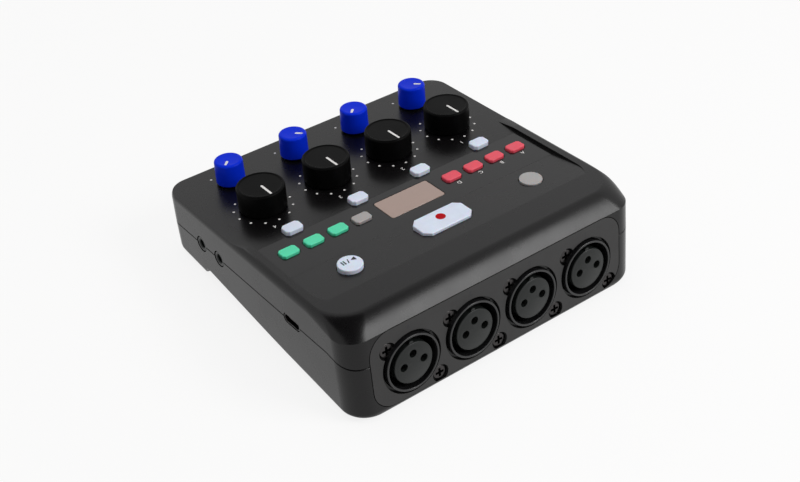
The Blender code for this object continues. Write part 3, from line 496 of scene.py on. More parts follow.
def carved(mesh, cutters, operation="DIFFERENCE"):
    """The mesh after one exact Boolean with all the cutters together."""
    target = bpy.data.objects.new("target", mesh)
    other = bpy.data.objects.new("other", joined(cutters))
    for item in (target, other):
        bpy.context.scene.collection.objects.link(item)
    modifier = target.modifiers.new("carve", "BOOLEAN")
    modifier.operation = operation
    modifier.solver = "EXACT"
    modifier.use_self = len(cutters) > 1
    modifier.object = other
    graph = bpy.context.evaluated_depsgraph_get()
    made = bpy.data.meshes.new_from_object(target.evaluated_get(graph))
    for item in (target, other):
        data = item.data
        bpy.data.objects.remove(item)
        bpy.data.meshes.remove(data)
    return made


CAPITAL_SHARE = 0.7


def lettering(text, height, thickness, place):
    """Plain characters as a thin solid, centred on the place and read along its x axis."""
    curve = bpy.data.curves.new("text", "FONT")
    curve.body = text
    curve.size = height / CAPITAL_SHARE
    curve.align_x = "CENTER"
    curve.align_y = "CENTER"
    curve.extrude = thickness / 2
    curve.resolution_u = 6
    guide = bpy.data.objects.new("text", curve)
    bpy.context.scene.collection.objects.link(guide)
    graph = bpy.context.evaluated_depsgraph_get()
    mesh = bpy.data.meshes.new_from_object(guide.evaluated_get(graph))
    bpy.data.objects.remove(guide)
    bpy.data.curves.remove(curve)
    mesh.transform(place)
    return mesh


SMOOTH_ANGLE = math.radians(30)


def piece(name, mesh, finish_name, nodes=(), body="housing", edge=0.0, weighted=False):
    """A shown piece: shaded, finished, riding on its body and standing for its CAD nodes."""
    made = bpy.data.objects.new(name, mesh)
    bpy.context.scene.collection.objects.link(made)
    mesh.name = name
    mesh.materials.clear()
    mesh.materials.append(finish_of(finish_name))
    mesh.shade_smooth()
    mesh.set_sharp_from_angle(angle=SMOOTH_ANGLE)
    if edge:
        bevel = made.modifiers.new("edges", "BEVEL")
        bevel.width = edge
        bevel.segments = 2
        bevel.limit_method = "ANGLE"
        bevel.angle_limit = SMOOTH_ANGLE
        bevel.harden_normals = True
    if weighted:
        normals = made.modifiers.new("normals", "WEIGHTED_NORMAL")
        normals.keep_sharp = True
    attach(made, body)
    if nodes:
        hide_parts(*nodes)


# Materials

GRAIN_SHARE = 0.35


def add_node(tree, kind, values=None, links=None, **settings):
    """One node with its settings, its sockets' values and what feeds them."""
    made = tree.nodes.new(kind)
    for name, value in settings.items():
        setattr(made, name, value)
    for socket, value in (values or {}).items():
        made.inputs[socket].default_value = value
    for socket, source in (links or {}).items():
        tree.links.new(source, made.inputs[socket])
    return made


def finish(name, base, roughness, grain, relief, blotch=0.012, contrast=0.10, spread=0.06, **values):
    """A finish whose tone clouds over a blotch's width, with a fine grain in relief and in roughness.

    grain and blotch are sizes in metres. Most real grains here are finer and would not show, so they
    are drawn 0.3 to 2 mm wide. relief is the grain's height, contrast is the share by which the tone
    varies and spread how far the roughness does.
    """
    made = bpy.data.materials.new(name)
    made.use_nodes = True
    tree = made.node_tree
    shader = tree.nodes["Principled BSDF"]
    for socket, value in values.items():
        shader.inputs[socket.replace("_", " ")].default_value = value
    spot = {"Vector": add_node(tree, "ShaderNodeTexCoord").outputs["Object"]}
    cloud = add_node(tree, "ShaderNodeTexNoise", {"Scale": 1 / blotch, "Detail": 3.0}, spot).outputs["Fac"]
    fine = add_node(tree, "ShaderNodeTexNoise", {"Scale": 1 / grain, "Detail": 2.0}, spot).outputs["Fac"]
    mixed = add_node(
        tree, "ShaderNodeMath", {1: GRAIN_SHARE}, {0: fine, 2: cloud}, operation="MULTIPLY_ADD"
    )
    tone = add_node(
        tree,
        "ShaderNodeMapRange",
        {"From Min": 0.35, "From Max": 1.0, "To Min": 1 - contrast, "To Max": 1 + contrast},
        {"Value": mixed.outputs[0]},
    )
    paint = add_node(
        tree, "ShaderNodeHueSaturation", {"Color": (*base, 1.0)}, {"Value": tone.outputs["Result"]}
    )
    polish = add_node(
        tree,
        "ShaderNodeMapRange",
        {"From Min": 0.3, "From Max": 0.7, "To Min": roughness - spread, "To Max": roughness + spread},
        {"Value": cloud},
    )
    bump = add_node(tree, "ShaderNodeBump", {"Strength": 0.6, "Distance": relief}, {"Height": fine})
    tree.links.new(paint.outputs["Color"], shader.inputs["Base Color"])
    tree.links.new(polish.outputs["Result"], shader.inputs["Roughness"])
    tree.links.new(bump.outputs["Normal"], shader.inputs["Normal"])
    return made


SILICONE = dict(blotch=0.004, contrast=0.05, Subsurface_Weight=0.25, Subsurface_Scale=0.0015, IOR=1.41)

# Each finish: its colour in the panel or in hex, roughness, grain and relief in metres, and the rest
FINISH_VALUES = {
    # Black ABS from a spark-eroded mould: a fine satin grain that blurs the white surroundings
    "abs_moulded": (
        "case", 0.27, 0.0004, 0.000008, dict(contrast=0.15, spread=0.03, Specular_IOR_Level=0.27)
    ),
    # Smooth polycarbonate sheet: it mirrors the knobs faintly
    "strip_sheet": ("strip", 0.15, 0.0008, 0.000002, dict(spread=0.03, Specular_IOR_Level=0.33)),
    # Powder coated steel: slightly pebbled and less shiny than the case
    "plate_coated": ("plate", 0.50, 0.0005, 0.00003, dict(contrast=0.15)),
    # Black ABS with a soft-touch skin that hardly shines
    "knob_moulded": ("level_knob", 0.40, 0.0006, 0.00001, dict(contrast=0.20, Specular_IOR_Level=0.04)),
    # Blue ABS, dyed through, with a satin skin
    "knob_blue": ("phones_knob", 0.36, 0.0006, 0.00001, dict(contrast=0.08, Specular_IOR_Level=0.06)),
    # Moulded silicone rubber: light goes a little way into it, so edges glow, and its skin is matt
    "silicone_green": ("green", 0.42, 0.0005, 0.00001, SILICONE),
    "silicone_white": ("white", 0.42, 0.0005, 0.00001, SILICONE),
    "silicone_red": ("red", 0.42, 0.0005, 0.00001, SILICONE),
    "silicone_grey": ("grey", 0.42, 0.0005, 0.00001, SILICONE),
    # Glass filled nylon: dark, slightly green and satin
    "socket_nylon": ("161918", 0.40, 0.0005, 0.00001, dict(contrast=0.12, Specular_IOR_Level=0.30)),
    # Black die cast zinc: a low sheen that draws the lip as a thin light ring
    "socket_shell": ("161617", 0.30, 0.0006, 0.00001, dict(contrast=0.15)),
    # Tinned brass contacts: bright, slightly uneven
    "contact_metal": ("b0aca2", 0.25, 0.0004, 0.000005, dict(contrast=0.10, Metallic=1.0)),
    # Nickel plated steel, turned: bright, with a fine even grain
    "shaft_steel": ("c4c3bf", 0.30, 0.0003, 0.000006, dict(contrast=0.08, Metallic=1.0)),
    # Zinc plated steel, passivated nearly black: a dark metal sheen on the screws. On the charging port and
    # the card socket this dark metal is partly painted shade, standing in for their shadowed openings
    "screw_zinc": ("403e3e", 0.30, 0.0003, 0.00001, dict(contrast=0.15, Metallic=1.0)),
    # Fibreglass circuit board under green lacquer: a satin dark green
    "board_laminate": ("14522e", 0.35, 0.0010, 0.00002, dict(contrast=0.20)),
    # Moulded rubber feet: matt, with a coarse grip
    "foot_rubber": ("141414", 0.80, 0.0006, 0.00005, dict(contrast=0.20)),
    # Screen printed white ink: thin and slightly uneven
    "white_ink": ("ink", 0.55, 0.0003, 0.000005, dict(contrast=0.06)),
    # Pad printed black ink: thin, dark and dull
    "black_ink": ("101018", 0.50, 0.0003, 0.000005, dict(contrast=0.15)),
    # Pad printed red ink: deep, with hardly any shine
    "red_ink": ("b0000c", 0.50, 0.0003, 0.000005, dict(contrast=0.08, Specular_IOR_Level=0.10)),
    # Clear acrylic over an unlit display: pale and warm, with a clean gloss
    "display_window": ("display", 0.12, 0.0010, 0.000001, dict(contrast=0.03, spread=0.02, Coat_Weight=1.0)),
    # Black velvet on the card overhead: it sends back almost nothing
    "black_velvet": ("040404", 0.95, 0.002, 0.0001, {}),
    # White seamless paper: even and matt
    "seamless_paper": ("f2f1f0", 0.9, 0.002, 0.00001, dict(blotch=0.2, contrast=0.01, spread=0.02)),
}
FINISHES = {}


def finish_of(name):
    """Each finish is made once."""
    if name not in FINISHES:
        shade, roughness, grain, relief, others = FINISH_VALUES[name]
        colours = bpy.context.scene.mixer_colours
        base = tuple(getattr(colours, shade)) if hasattr(colours, shade) else linear(shade)
        FINISHES[name] = finish(name, base, roughness, grain, relief, **others)
    return FINISHES[name]


# Openings that several pieces share

KEY_FLANGE = 0.0006
KEY_FLANGE_THICKNESS = 0.0008
KEY_CORNERS = {"record": 0.0024, "mute": 0.0011}
SMALL_KEY_CORNER = 0.0009
KEY_CORNER_ROUND = 0.0003
LEAST_ROUND = 0.0001
# The record key is shown a little larger than its solid, as in the photograph
RECORD_GROWTH = 0.0002
ROUND_KEYS = ("play_button", "power_button")

SHEET_RADIUS = 0.0008
PLATE_RADIUS = 0.0085
# The plate is shown a little shorter than its solid, as in the photograph
PLATE_TRIM = 0.0015
PLATE_POCKET = 0.0015
PLATE_HOLE_RADIUS = 0.0120
SCREWS = ((0.0091, -0.0088), (-0.0109, 0.0108))
SCREW_RECESS = 0.0033
SCREW_HOLE_RADIUS = 0.0013
SCREW_HOLE_DEPTH = 0.0077
SHELL_RADIUS = 0.0108
SHELL_POCKET = 0.0076
BORE_RADIUS = 0.0100
INSERT_RADIUS = 0.0078
JACK_HOLE_RADIUS = 0.0032
JACK_HOLE_DEPTH = 0.0128
PORT_DEPTHS = {"usb_port": 0.0078, "card_socket": 0.0143}
PORT_ROUND_SHARE = 0.9
SHAFT_HOLES = ((LEVEL_ROW, 0.0036), (PHONES_ROW, 0.0026))


def half_sizes(place, node):
    """Half of a CAD node's size along the first two axes of a frame."""
    low, high = box_in(place, node)
    return float(high[0] - low[0]) / 2, float(high[1] - low[1]) / 2


def key_shape(name, grow=0.0):
    """A key's outline about its own centre, from the CAD cap's size: octagons, and two round keys."""
    half_x, half_y = (half - KEY_FLANGE for half in half_sizes(CASE, name))
    if name == "record_button":
        half_x += RECORD_GROWTH
        half_y += RECORD_GROWTH
    if name in ROUND_KEYS:
        return circle(half_x + grow)
    corner = KEY_CORNERS.get(name.split("_")[0], SMALL_KEY_CORNER)
    return rounded(octagon(half_x, half_y, corner, grow), max(KEY_CORNER_ROUND + grow, LEAST_ROUND))


def key_centre(name):
    middle = centre_in(CASE, name)
    return float(middle[0]), float(middle[1])


def key_openings(names, low, high):
    """Prisms that cut the openings round keys, in the case's frame."""
    return [prism(key_shape(name, GAP), low, high, shift(*key_centre(name))) for name in names]


def in_case(place):
    """The same place, measured in the case's frame."""
    return CASE.inverted() @ place


def port_place(node):
    """A frame at the seam, on the front wall or on a side wall, whose z axis points out of the wall."""
    x, y = key_centre(node)
    if node in FRONT_PORTS:
        return moved(x, CASE_FRONT, -SEAM_DEPTH, turn_x=QUARTER)
    side = math.copysign(1, x)
    return moved(side * CASE_HALF, y, -SEAM_DEPTH, turn_y=side * QUARTER)


def port_outline(node, grow):
    """A port's rounded mouth from its CAD node's size."""
    half_x, half_y = half_sizes(port_place(node), node)
    radius = min(half_x, half_y) * PORT_ROUND_SHARE + grow
    return rounded(rectangle(half_x + grow, half_y + grow), radius, 6)


def sheet_outline(place, node, radius, grow=0.0, trim=0.0, steps=4):
    """A flat CAD node's outline as a rounded rectangle, grown evenly and trimmed at both ends."""
    low, high = box_in(place, node)
    half_y = float(high[1] - low[1]) / 2 + grow
    shape = rectangle(float(high[0]) - trim + grow, half_y, y=float(low[1] + high[1]) / 2)
    return rounded(shape, max(radius + grow, LEAST_ROUND * 2), steps)


def plate_outline(grow=0.0):
    return sheet_outline(FACE, "rear_plate", PLATE_RADIUS, grow, PLATE_TRIM, 12)


def panel_outline(grow=0.0):
    return sheet_outline(CASE, "control_panel", SHEET_RADIUS, grow)


def display_outline(grow=0.0):
    return sheet_outline(CASE, "display_window", SHEET_RADIUS, grow)


def socket_place(x):
    return FACE @ shift(x, 0)


def port_cutters():
    """Openings at the seam for jacks and ports, and in the socket face for plate and sockets."""
    cutters = []
    for node in SIDE_PORTS + FRONT_PORTS:
        place = in_case(port_place(node))
        cutters.append(prism(circle(JACK_HOLE_RADIUS, 40), -JACK_HOLE_DEPTH, OVERRUN, place))
    for node, depth in PORT_DEPTHS.items():
        cutters.append(prism(port_outline(node, GAP), -depth, OVERRUN, in_case(port_place(node))))
    cutters.append(prism(plate_outline(GAP), -PLATE_POCKET, OVERRUN, in_case(FACE)))
    for x in SOCKET_X:
        place = in_case(socket_place(x))
        cutters.append(prism(circle(SHELL_RADIUS + GAP), -SHELL_POCKET, OVERRUN * 0.9, place))
        for across, down in SCREWS:
            place = in_case(socket_place(x) @ shift(across, down))
            cutters.append(prism(circle(SCREW_HOLE_RADIUS, 16), -SCREW_HOLE_DEPTH, OVERRUN * 0.8, place))
    return cutters


# Pieces

BELOW_SHOULDER = 0.0004
ABOVE_SEAM = 0.0012
SEAM_LIP = 0.0003
SEAM_INSET = 0.00015
STRIP_GAP = 0.00004
STRIP_POCKET = 0.0013
STRIP_THICKNESS = 0.0010
DISPLAY_LEDGE = 0.0010
DISPLAY_EDGE = 0.00003
NEAR = 5e-5


def mark_folds(mesh):
    """Sharp edges where the rising deck starts and where it meets the rim's level."""
    points = points_in(CASE, mesh)
    ends = np.empty(len(mesh.edges) * 2, np.int32)
    mesh.edges.foreach_get("vertices", ends)
    ends = ends.reshape(-1, 2)
    sharp = np.empty(len(mesh.edges), bool)
    mesh.edges.foreach_get("use_edge_sharp", sharp)
    for row, height in ((RECESS_FLAT_END, 0.0), (RECESS_END, RIM_HEIGHT)):
        near = (abs(points[:, 1] - row) < NEAR) & (abs(points[:, 2] - height) < NEAR)
        sharp |= near[ends].all(axis=1)
    mesh.edges.foreach_set("use_edge_sharp", sharp)


def upper_case_mesh():
    """The upper case half: a shoulder lofted from rim to seam, hollowed, sunk and pierced."""
    walls = side_rows(np.linspace(-REAR_DROP - BELOW_SHOULDER, -SEAM_DEPTH + ABOVE_SEAM, 3))
    edges = (seam_row(SEAM_LIP), seam_row(GAP / 2, SEAM_INSET))
    body = skin(np.concatenate((shoulder_rows(np.linspace(0, QUARTER, 15)), walls, *edges)))
    inner = CASE_HALF - WALL * 2
    floor = case_outline(inner, CASE_FRONT + WALL * 2, RIM_REAR - WALL, WALL * 2, WALL * 2)
    sides = side_rows((-DECK_WALL - WALL * 2, -SEAM_DEPTH - OVERRUN), WALL)
    body = carved(body, [skin(np.concatenate((rings((floor, -DECK_WALL)), sides)))])
    body = carved(body, [recess_mesh()])
    front = CASE_FRONT - OVERRUN
    over = 1 + GAP / RIM_HEIGHT
    ramp_top = RAMP_START * (1 - over)
    ramp = [(front, 0), (RAMP_START, 0), (ramp_top, RIM_HEIGHT * over)]
    ramp += [(ramp_top, OVERRUN), (front, OVERRUN)]
    body = carved(body, [prism(np.array(ramp), -CASE_HALF * 2, CASE_HALF * 2, ALONG_X)])
    body = carved(body, [prism(panel_outline(STRIP_GAP), -STRIP_POCKET, OVERRUN)])
    below = -DECK_WALL - OVERRUN
    holes = key_openings(SMALL_KEYS + MUTE_KEYS + ["record_button", *ROUND_KEYS], below, OVERRUN)
    for x in CHANNEL_X:
        holes += [prism(circle(radius, 32), below, OVERRUN, shift(x, row)) for row, radius in SHAFT_HOLES]
    holes.append(prism(display_outline(-DISPLAY_LEDGE), below, OVERRUN))
    return carved(carved(body, holes), port_cutters())


def recess_mesh():
    """The sunk deck's cutter: flat under the knobs, then rising in one plane to the rear."""
    rise = RIM_HEIGHT / (RECESS_END - RECESS_FLAT_END)
    rear = RECESS_END + OVERRUN
    right = arc(RECESS_HALF - RECESS_CORNER, rear - RECESS_CORNER, RECESS_CORNER, 0, QUARTER, 20)
    half = np.concatenate((((RECESS_HALF, RECESS_FLAT_END),), right))
    front = RAMP_START - OVERRUN
    outline = np.concatenate((half, half[::-1] * (-1, 1), ((-RECESS_HALF, front), (RECESS_HALF, front))))
    low = np.maximum(outline[:, 1] - RECESS_FLAT_END, 0) * rise
    high = np.full(len(outline), OVERRUN)
    points = np.concatenate((np.column_stack((outline, low)), np.column_stack((outline, high))))
    count = len(outline)
    index = np.arange(count)
    after = np.roll(index, -1)
    faces = np.stack((index, after, after + count, index + count), -1).tolist()
    faces.append(list(range(count - 3, -1, -1)))
    faces.append([count - 1, count - 2, count - 3, 0])
    faces.append(list(range(count, 2 * count)))
    return mesh_from(points, faces)


DOOR_HALF = 0.0274
RAIL_HALF_WIDTH = 0.00115
RAIL_HALF_LENGTH = 0.0025
RAIL_MIDDLE = 0.0015
RAIL_TOP = 0.0042
RAIL_AWAY = 0.00225
POST_ROWS = (-0.0080, 0.0190)
POST_SIDE = 0.0090
POST_RADIUS = 0.0025
POST_TOP = -0.0090
BARREL_RADIUS = 0.0015
PIN_RADIUS = 0.0011
PIN_HALF = 0.0348
FOOT_RECESS_RADIUS = 0.0058


def foot_place(number):
    """The middle of a foot on the table, and the height of its top."""
    low, high = box_in(FLOOR, f"foot_{number}")
    x, y = (float(value) for value in (low[:2] + high[:2]) / 2)
    return shift(x, y), float(high[2])


def lower_case_mesh():
    """The lower case half: hollow, arched between its feet, with the battery opening."""
    angles = np.linspace(0, QUARTER, 9)
    rows = (seam_row(-GAP / 2, SEAM_INSET), seam_row(-SEAM_LIP), foot_rows(angles))
    body = skin(np.concatenate(rows))
    wide = CASE_HALF * 2
    body = carved(body, [prism(belly_outline(0.0), -wide, wide, ALONG_X)])
    rows = (side_rows((-SEAM_DEPTH + OVERRUN,), WALL), foot_rows(angles[::2], WALL, FLOOR_WALL))
    ridge = prism(belly_outline(FLOOR_WALL), -wide, wide, ALONG_X)
    body = carved(body, [carved(skin(np.concatenate(rows)), [ridge])])
    to_case = in_case(BELLY)
    posts = []
    for side in (-1, 1):
        rail = rectangle(RAIL_HALF_WIDTH, RAIL_HALF_LENGTH, side * (DOOR_HALF + RAIL_AWAY), RAIL_MIDDLE)
        posts.append(prism(rail, FLOOR_WALL / 2, RAIL_TOP, to_case))
        for y in POST_ROWS:
            base = float(belly_height(y)) + FLOOR_WALL / 2
            place = shift(side * (CASE_HALF - POST_SIDE), y)
            posts.append(prism(circle(POST_RADIUS, 24), base, POST_TOP, place))
    body = carved(body, posts, "UNION")
    low, high = box_in(BELLY, "battery_door")
    half = float(high[1] + GAP) / 2
    openings = [prism(rectangle(DOOR_HALF + GAP, half, y=half), -OVERRUN, OVERRUN, to_case)]
    bore = to_case @ shift(0, float(low[1]) + BARREL_RADIUS, BARREL_RADIUS) @ ALONG_X
    openings.append(prism(circle(PIN_RADIUS, 20), -PIN_HALF, PIN_HALF, bore))
    for number in CHANNELS:
        place, top = foot_place(number)
        openings.append(prism(circle(FOOT_RECESS_RADIUS), -OVERRUN, top + GAP, in_case(FLOOR) @ place))
    return carved(carved(body, openings), port_cutters())


class MIXER_OT_upper_case(bpy.types.Operator):
    """Build the upper case half with its sunk deck"""

    bl_idname = "mixer.upper_case"
    bl_label = "Upper case"

    def execute(self, context):
        mesh = upper_case_mesh()
        mesh.transform(CASE)
        piece("upper_case", mesh, "abs_moulded", ("top_case",), weighted=True)
        mark_folds(mesh)
        return {"FINISHED"}


class MIXER_OT_lower_case(bpy.types.Operator):
    """Build the lower case half with its arch"""

    bl_idname = "mixer.lower_case"
    bl_label = "Lower case"

    def execute(self, context):
        mesh = lower_case_mesh()
        mesh.transform(CASE)
        piece("lower_case", mesh, "abs_moulded", ("bottom_case",), weighted=True)
        return {"FINISHED"}


class MIXER_OT_control_strip(bpy.types.Operator):
    """Build the smooth strip round the small keys and its display window"""

    bl_idname = "mixer.control_strip"
    bl_label = "Control strip"

    def execute(self, context):
        edge = context.scene.mixer_sizes.sheet_edge
        openings = key_openings(SMALL_KEYS + MUTE_KEYS, -OVERRUN, OVERRUN)
        openings.append(prism(display_outline(GAP), -OVERRUN, OVERRUN))
        strip = carved(prism(panel_outline(), -STRIP_THICKNESS, 0.0), openings)
        strip.transform(CASE)
        piece("control_strip", strip, "strip_sheet", ("control_panel",), edge=edge)
        window = rings(
            (display_outline(), -STRIP_THICKNESS),
            (display_outline(), -DISPLAY_EDGE),
            (display_outline(-DISPLAY_EDGE), 0.0),
        )
        piece("display_glass", skin(window, CASE), "display_window", ("display_window",))
        return {"FINISHED"}


PLATE_THICKNESS = 0.0012
HEAD_RADIUS = 0.0027
HEAD_ROUND = 0.0005
HEAD_TOP = 0.0003
HEAD_UNDER = -0.0006
HEAD_SUNK = 0.0009
CROSS_DEPTH = 0.0010
CROSS_ARM = (0.0017, 0.0005)


def screw_mesh():
    """A cross head screw: a turned head with a cross recess, its z axis out of the head."""
    profile = np.concatenate(
        (
            ((0, HEAD_UNDER), (HEAD_RADIUS, HEAD_UNDER)),
            arc(HEAD_RADIUS - HEAD_ROUND, -HEAD_TOP, HEAD_ROUND, 0, QUARTER, 6),
            ((HEAD_RADIUS * 0.5, HEAD_TOP), (0, HEAD_TOP)),
        )
    )
    arm = rounded(rectangle(*CROSS_ARM), 0.0001, 2)
    wings = [prism(shape, -CROSS_DEPTH, OVERRUN) for shape in (arm, arm[:, ::-1] * (-1, 1))]
    return carved(skin(turned(profile, 48), caps=False), wings)


class MIXER_OT_socket_plate(bpy.types.Operator):
    """Build the coated plate round the microphone sockets and its eight screws"""

    bl_idname = "mixer.socket_plate"
    bl_label = "Socket plate"

    def execute(self, context):
        edge = context.scene.mixer_sizes.plate_edge
        holes = []
        screws = []
        for x in SOCKET_X:
            holes.append(prism(circle(PLATE_HOLE_RADIUS, 96), -OVERRUN, OVERRUN, shift(x, 0)))
            for across, down in SCREWS:
                place = shift(x + across, down)
                holes.append(prism(circle(SCREW_RECESS, 48), -OVERRUN * 0.9, OVERRUN * 0.9, place))
                screws.append(FACE @ shift(x + across, down, -HEAD_SUNK))
        plate = carved(prism(plate_outline(), -PLATE_THICKNESS, 0.0), holes)
        plate.transform(FACE)
        piece("socket_plate", plate, "plate_coated", ("rear_plate",), edge=edge)
        piece("plate_screws", copies(screw_mesh(), screws), "screw_zinc")
        return {"FINISHED"}


SHELL_BACK = -0.0150
SHELL_FLOOR = SHELL_BACK + 0.0015
SHELL_LIP = 0.0009
SHELL_EDGE = 0.00025
FLANGE_RADIUS = 0.0123
FLANGE_FRONT = -0.0039
FLANGE_BACK = -0.0054
INSERT_PROUD = 0.0010
INSERT_CHAMFER = 0.0004
INSERT_STEP = 0.00012
STEP_START = 0.0066
STEP_END = 0.0069
CONTACT_SPOTS = ((-0.00412, 0), (0.00412, 0), (0, -0.0038))
CONTACT_HOLE_RADIUS = 0.0015
CONTACT_HOLE_DEPTH = 0.0090
RIB_RADIUS = 0.0009
RIB_DEPTH = 0.0018


def shell_profile():
    """A socket's metal tube: a deep bore, a lip rounded on both sides, and a flange behind the plate."""
    return np.concatenate(
        (
            ((0, SHELL_FLOOR), (BORE_RADIUS, SHELL_FLOOR)),
            arc(BORE_RADIUS + SHELL_EDGE, SHELL_LIP - SHELL_EDGE, SHELL_EDGE, math.pi, QUARTER, 5),
            arc(SHELL_RADIUS - SHELL_EDGE, SHELL_LIP - SHELL_EDGE, SHELL_EDGE, QUARTER, 0, 5),
            ((SHELL_RADIUS, FLANGE_FRONT), (FLANGE_RADIUS, FLANGE_FRONT), (FLANGE_RADIUS, FLANGE_BACK)),
            ((SHELL_RADIUS, FLANGE_BACK), (SHELL_RADIUS, SHELL_BACK), (0, SHELL_BACK)),
        )
    )


def insert_profile():
    """A socket's insulator: a flat front with a small step, and a rounded edge."""
    rim = INSERT_PROUD - INSERT_STEP
    flat = INSERT_RADIUS - INSERT_CHAMFER
    return np.concatenate(
        (
            ((0, INSERT_PROUD), (STEP_START, INSERT_PROUD), (STEP_END, rim), (flat, rim)),
            arc(flat, rim - INSERT_CHAMFER, INSERT_CHAMFER, QUARTER, 0, 5),
            ((INSERT_RADIUS, SHELL_FLOOR + GAP), (0, SHELL_FLOOR + GAP)),
        )
    )


# One contact's wall in radius and height, closed on itself
SLEEVE = (
    (0.0010, -0.0070),
    (0.0010, -0.0018),
    (0.00115, -0.00165),
    (0.00135, -0.0018),
    (0.00135, -0.0070),
    (0.0010, -0.0070),
)


class MIXER_OT_sockets(bpy.types.Operator):
    """Build the four microphone sockets: shells, insulators and contacts"""

    bl_idname = "mixer.sockets"
    bl_label = "Microphone sockets"

    def execute(self, context):
        for number, x in zip(CHANNELS, SOCKET_X):
            place = socket_place(x)
            shell = skin(turned(shell_profile(), 112), place, caps=False)
            piece(f"socket_shell_{number}", shell, "socket_shell", (f"xlr_shell_{number}",))
            insert = skin(turned(insert_profile(), 112), caps=False)
            rib_top = INSERT_PROUD - INSERT_CHAMFER
            rib = prism(circle(RIB_RADIUS, 24), -RIB_DEPTH, rib_top, shift(0, -INSERT_RADIUS))
            insert = carved(insert, [rib], "UNION")
            hole = circle(CONTACT_HOLE_RADIUS, 40)
            holes = [prism(hole, -CONTACT_HOLE_DEPTH, OVERRUN, shift(*spot)) for spot in CONTACT_SPOTS]
            insert = carved(insert, holes)
            insert.transform(place)
            nodes = (f"xlr_insert_{number}",)
            piece(f"socket_insert_{number}", insert, "socket_nylon", nodes)
            places = [place @ shift(*spot) for spot in CONTACT_SPOTS]
            sleeves = copies(skin(turned(SLEEVE, 40), caps=False), places)
            piece(f"socket_contacts_{number}", sleeves, "contact_metal")
        return {"FINISHED"}


POINTER_RISE = 0.00024
POINTER_ROOT = 0.0001
POINTER_OVERLAP = 0.00001
KNOB_CAP = 0.0018
KNOB_FOOT = 0.0003
KNOB_FOOT_INSET = 0.0002
LEVEL_BORE_RADIUS = 0.0033
# The knobs are shown a little wider than their solids, as in the photograph
LEVEL_GROWTH = 0.0002
LEVEL_SINK = 0.00005
LEVEL_EDGE = 0.0007
LEVEL_GROOVE = (0.0004, 0.0076)
LEVEL_GROOVE_DEPTH = 0.0003
DISH_SHARE = 0.92
PHONES_BORE_RADIUS = 0.0023
PHONES_GROWTH = 0.0003
PHONES_EDGE = 0.0009
PHONES_TAPER = 0.00015
PHONES_DISH = 0.0002
PHONES_GROOVE = (0.0010, 0.0041)
PHONES_GROOVE_DEPTH = 0.0002


def knob_pieces(kind, number, profile, groove, groove_floor, finish_name):
    """A knob on its joint's axis, with a groove for its pointer and white paint in the groove."""
    joint = JOINTS[f"{kind}_{number}_turn"]
    turn = -math.radians(sum(joint["range_deg"])) / 2
    row = LEVEL_ROW if kind == "level" else PHONES_ROW
    place = moved(float(joint["pos_m"][0]), row, 0, turn_z=turn)
    body = f"{kind}_control_{number}"
    half = bpy.context.scene.mixer_sizes.groove_width / 2
    knob = carved(skin(turned(profile), caps=False), [prism(slot_shape(half, *groove), groove_floor, 0.02)])
    knob.transform(place)
    piece(f"{kind}_cap_{number}", knob, finish_name, (f"{kind}_knob_{number}",), body)
    paint = slot_shape(half + POINTER_OVERLAP, *groove)
    line = prism(paint, groove_floor - POINTER_ROOT, groove_floor + POINTER_RISE, place)
    piece(f"{kind}_pointer_{number}", line, "white_ink", body=body)


def knob_wall(radius, bottom, top, bore):
    """The lower part of a knob's profile: its side, foot, bore and the underside of its cap."""
    return (
        (radius, bottom + KNOB_FOOT),
        (radius - KNOB_FOOT_INSET, bottom),
        (bore, bottom),
        (bore, top - KNOB_CAP),
        (0, top - KNOB_CAP),
    )


class MIXER_OT_level_knobs(bpy.types.Operator):
    """Build the four black level knobs"""

    bl_idname = "mixer.level_knobs"
    bl_label = "Level knobs"

    def execute(self, context):
        sizes = context.scene.mixer_sizes
        low, high = box_in(CASE, "level_knob_1")
        radius = float(high[0] - low[0]) / 2 + LEVEL_GROWTH
        top = float(high[2]) - LEVEL_SINK
        dish = sizes.knob_dish
        ring = radius - sizes.knob_rim
        inner = top - dish * DISH_SHARE
        profile = np.concatenate(
            (
                ((0, top - dish), (radius * 0.5, top - dish), (ring - 0.0009, inner)),
                arc(ring - 0.0003, inner + 0.0006, 0.0006, -QUARTER, -QUARTER * 0.55, 4),
                arc(ring + 0.0004, top - 0.0004, 0.0004, math.pi * 0.75, QUARTER, 4),
                arc(radius - LEVEL_EDGE, top - LEVEL_EDGE, LEVEL_EDGE, QUARTER, 0, 8),
                knob_wall(radius, float(low[2]), top, LEVEL_BORE_RADIUS),
            )
        )
        floor = top - dish - LEVEL_GROOVE_DEPTH
        for number in CHANNELS:
            knob_pieces("level", number, profile, LEVEL_GROOVE, floor, "knob_moulded")
        return {"FINISHED"}


class MIXER_OT_phones_knobs(bpy.types.Operator):
    """Build the four blue headphone knobs"""

    bl_idname = "mixer.phones_knobs"
    bl_label = "Headphone knobs"

    def execute(self, context):
        low, high = box_in(CASE, "phones_knob_1")
        radius = float(high[0] - low[0]) / 2 + PHONES_GROWTH
        top = float(high[2]) + PHONES_GROWTH
        flat = radius - PHONES_TAPER - PHONES_EDGE
        profile = np.concatenate(
            (
                ((0, top - PHONES_DISH), (radius * 0.45, top - PHONES_DISH * 0.8)),
                ((flat - 0.0004, top - 0.00004),),
                arc(flat, top - PHONES_EDGE, PHONES_EDGE, QUARTER, 0, 10),
                knob_wall(radius, float(low[2]), top, PHONES_BORE_RADIUS),
            )
        )
        floor = top - PHONES_DISH - PHONES_GROOVE_DEPTH
        for number in CHANNELS:
            knob_pieces("phones", number, profile, PHONES_GROOVE, floor, "knob_blue")
        return {"FINISHED"}


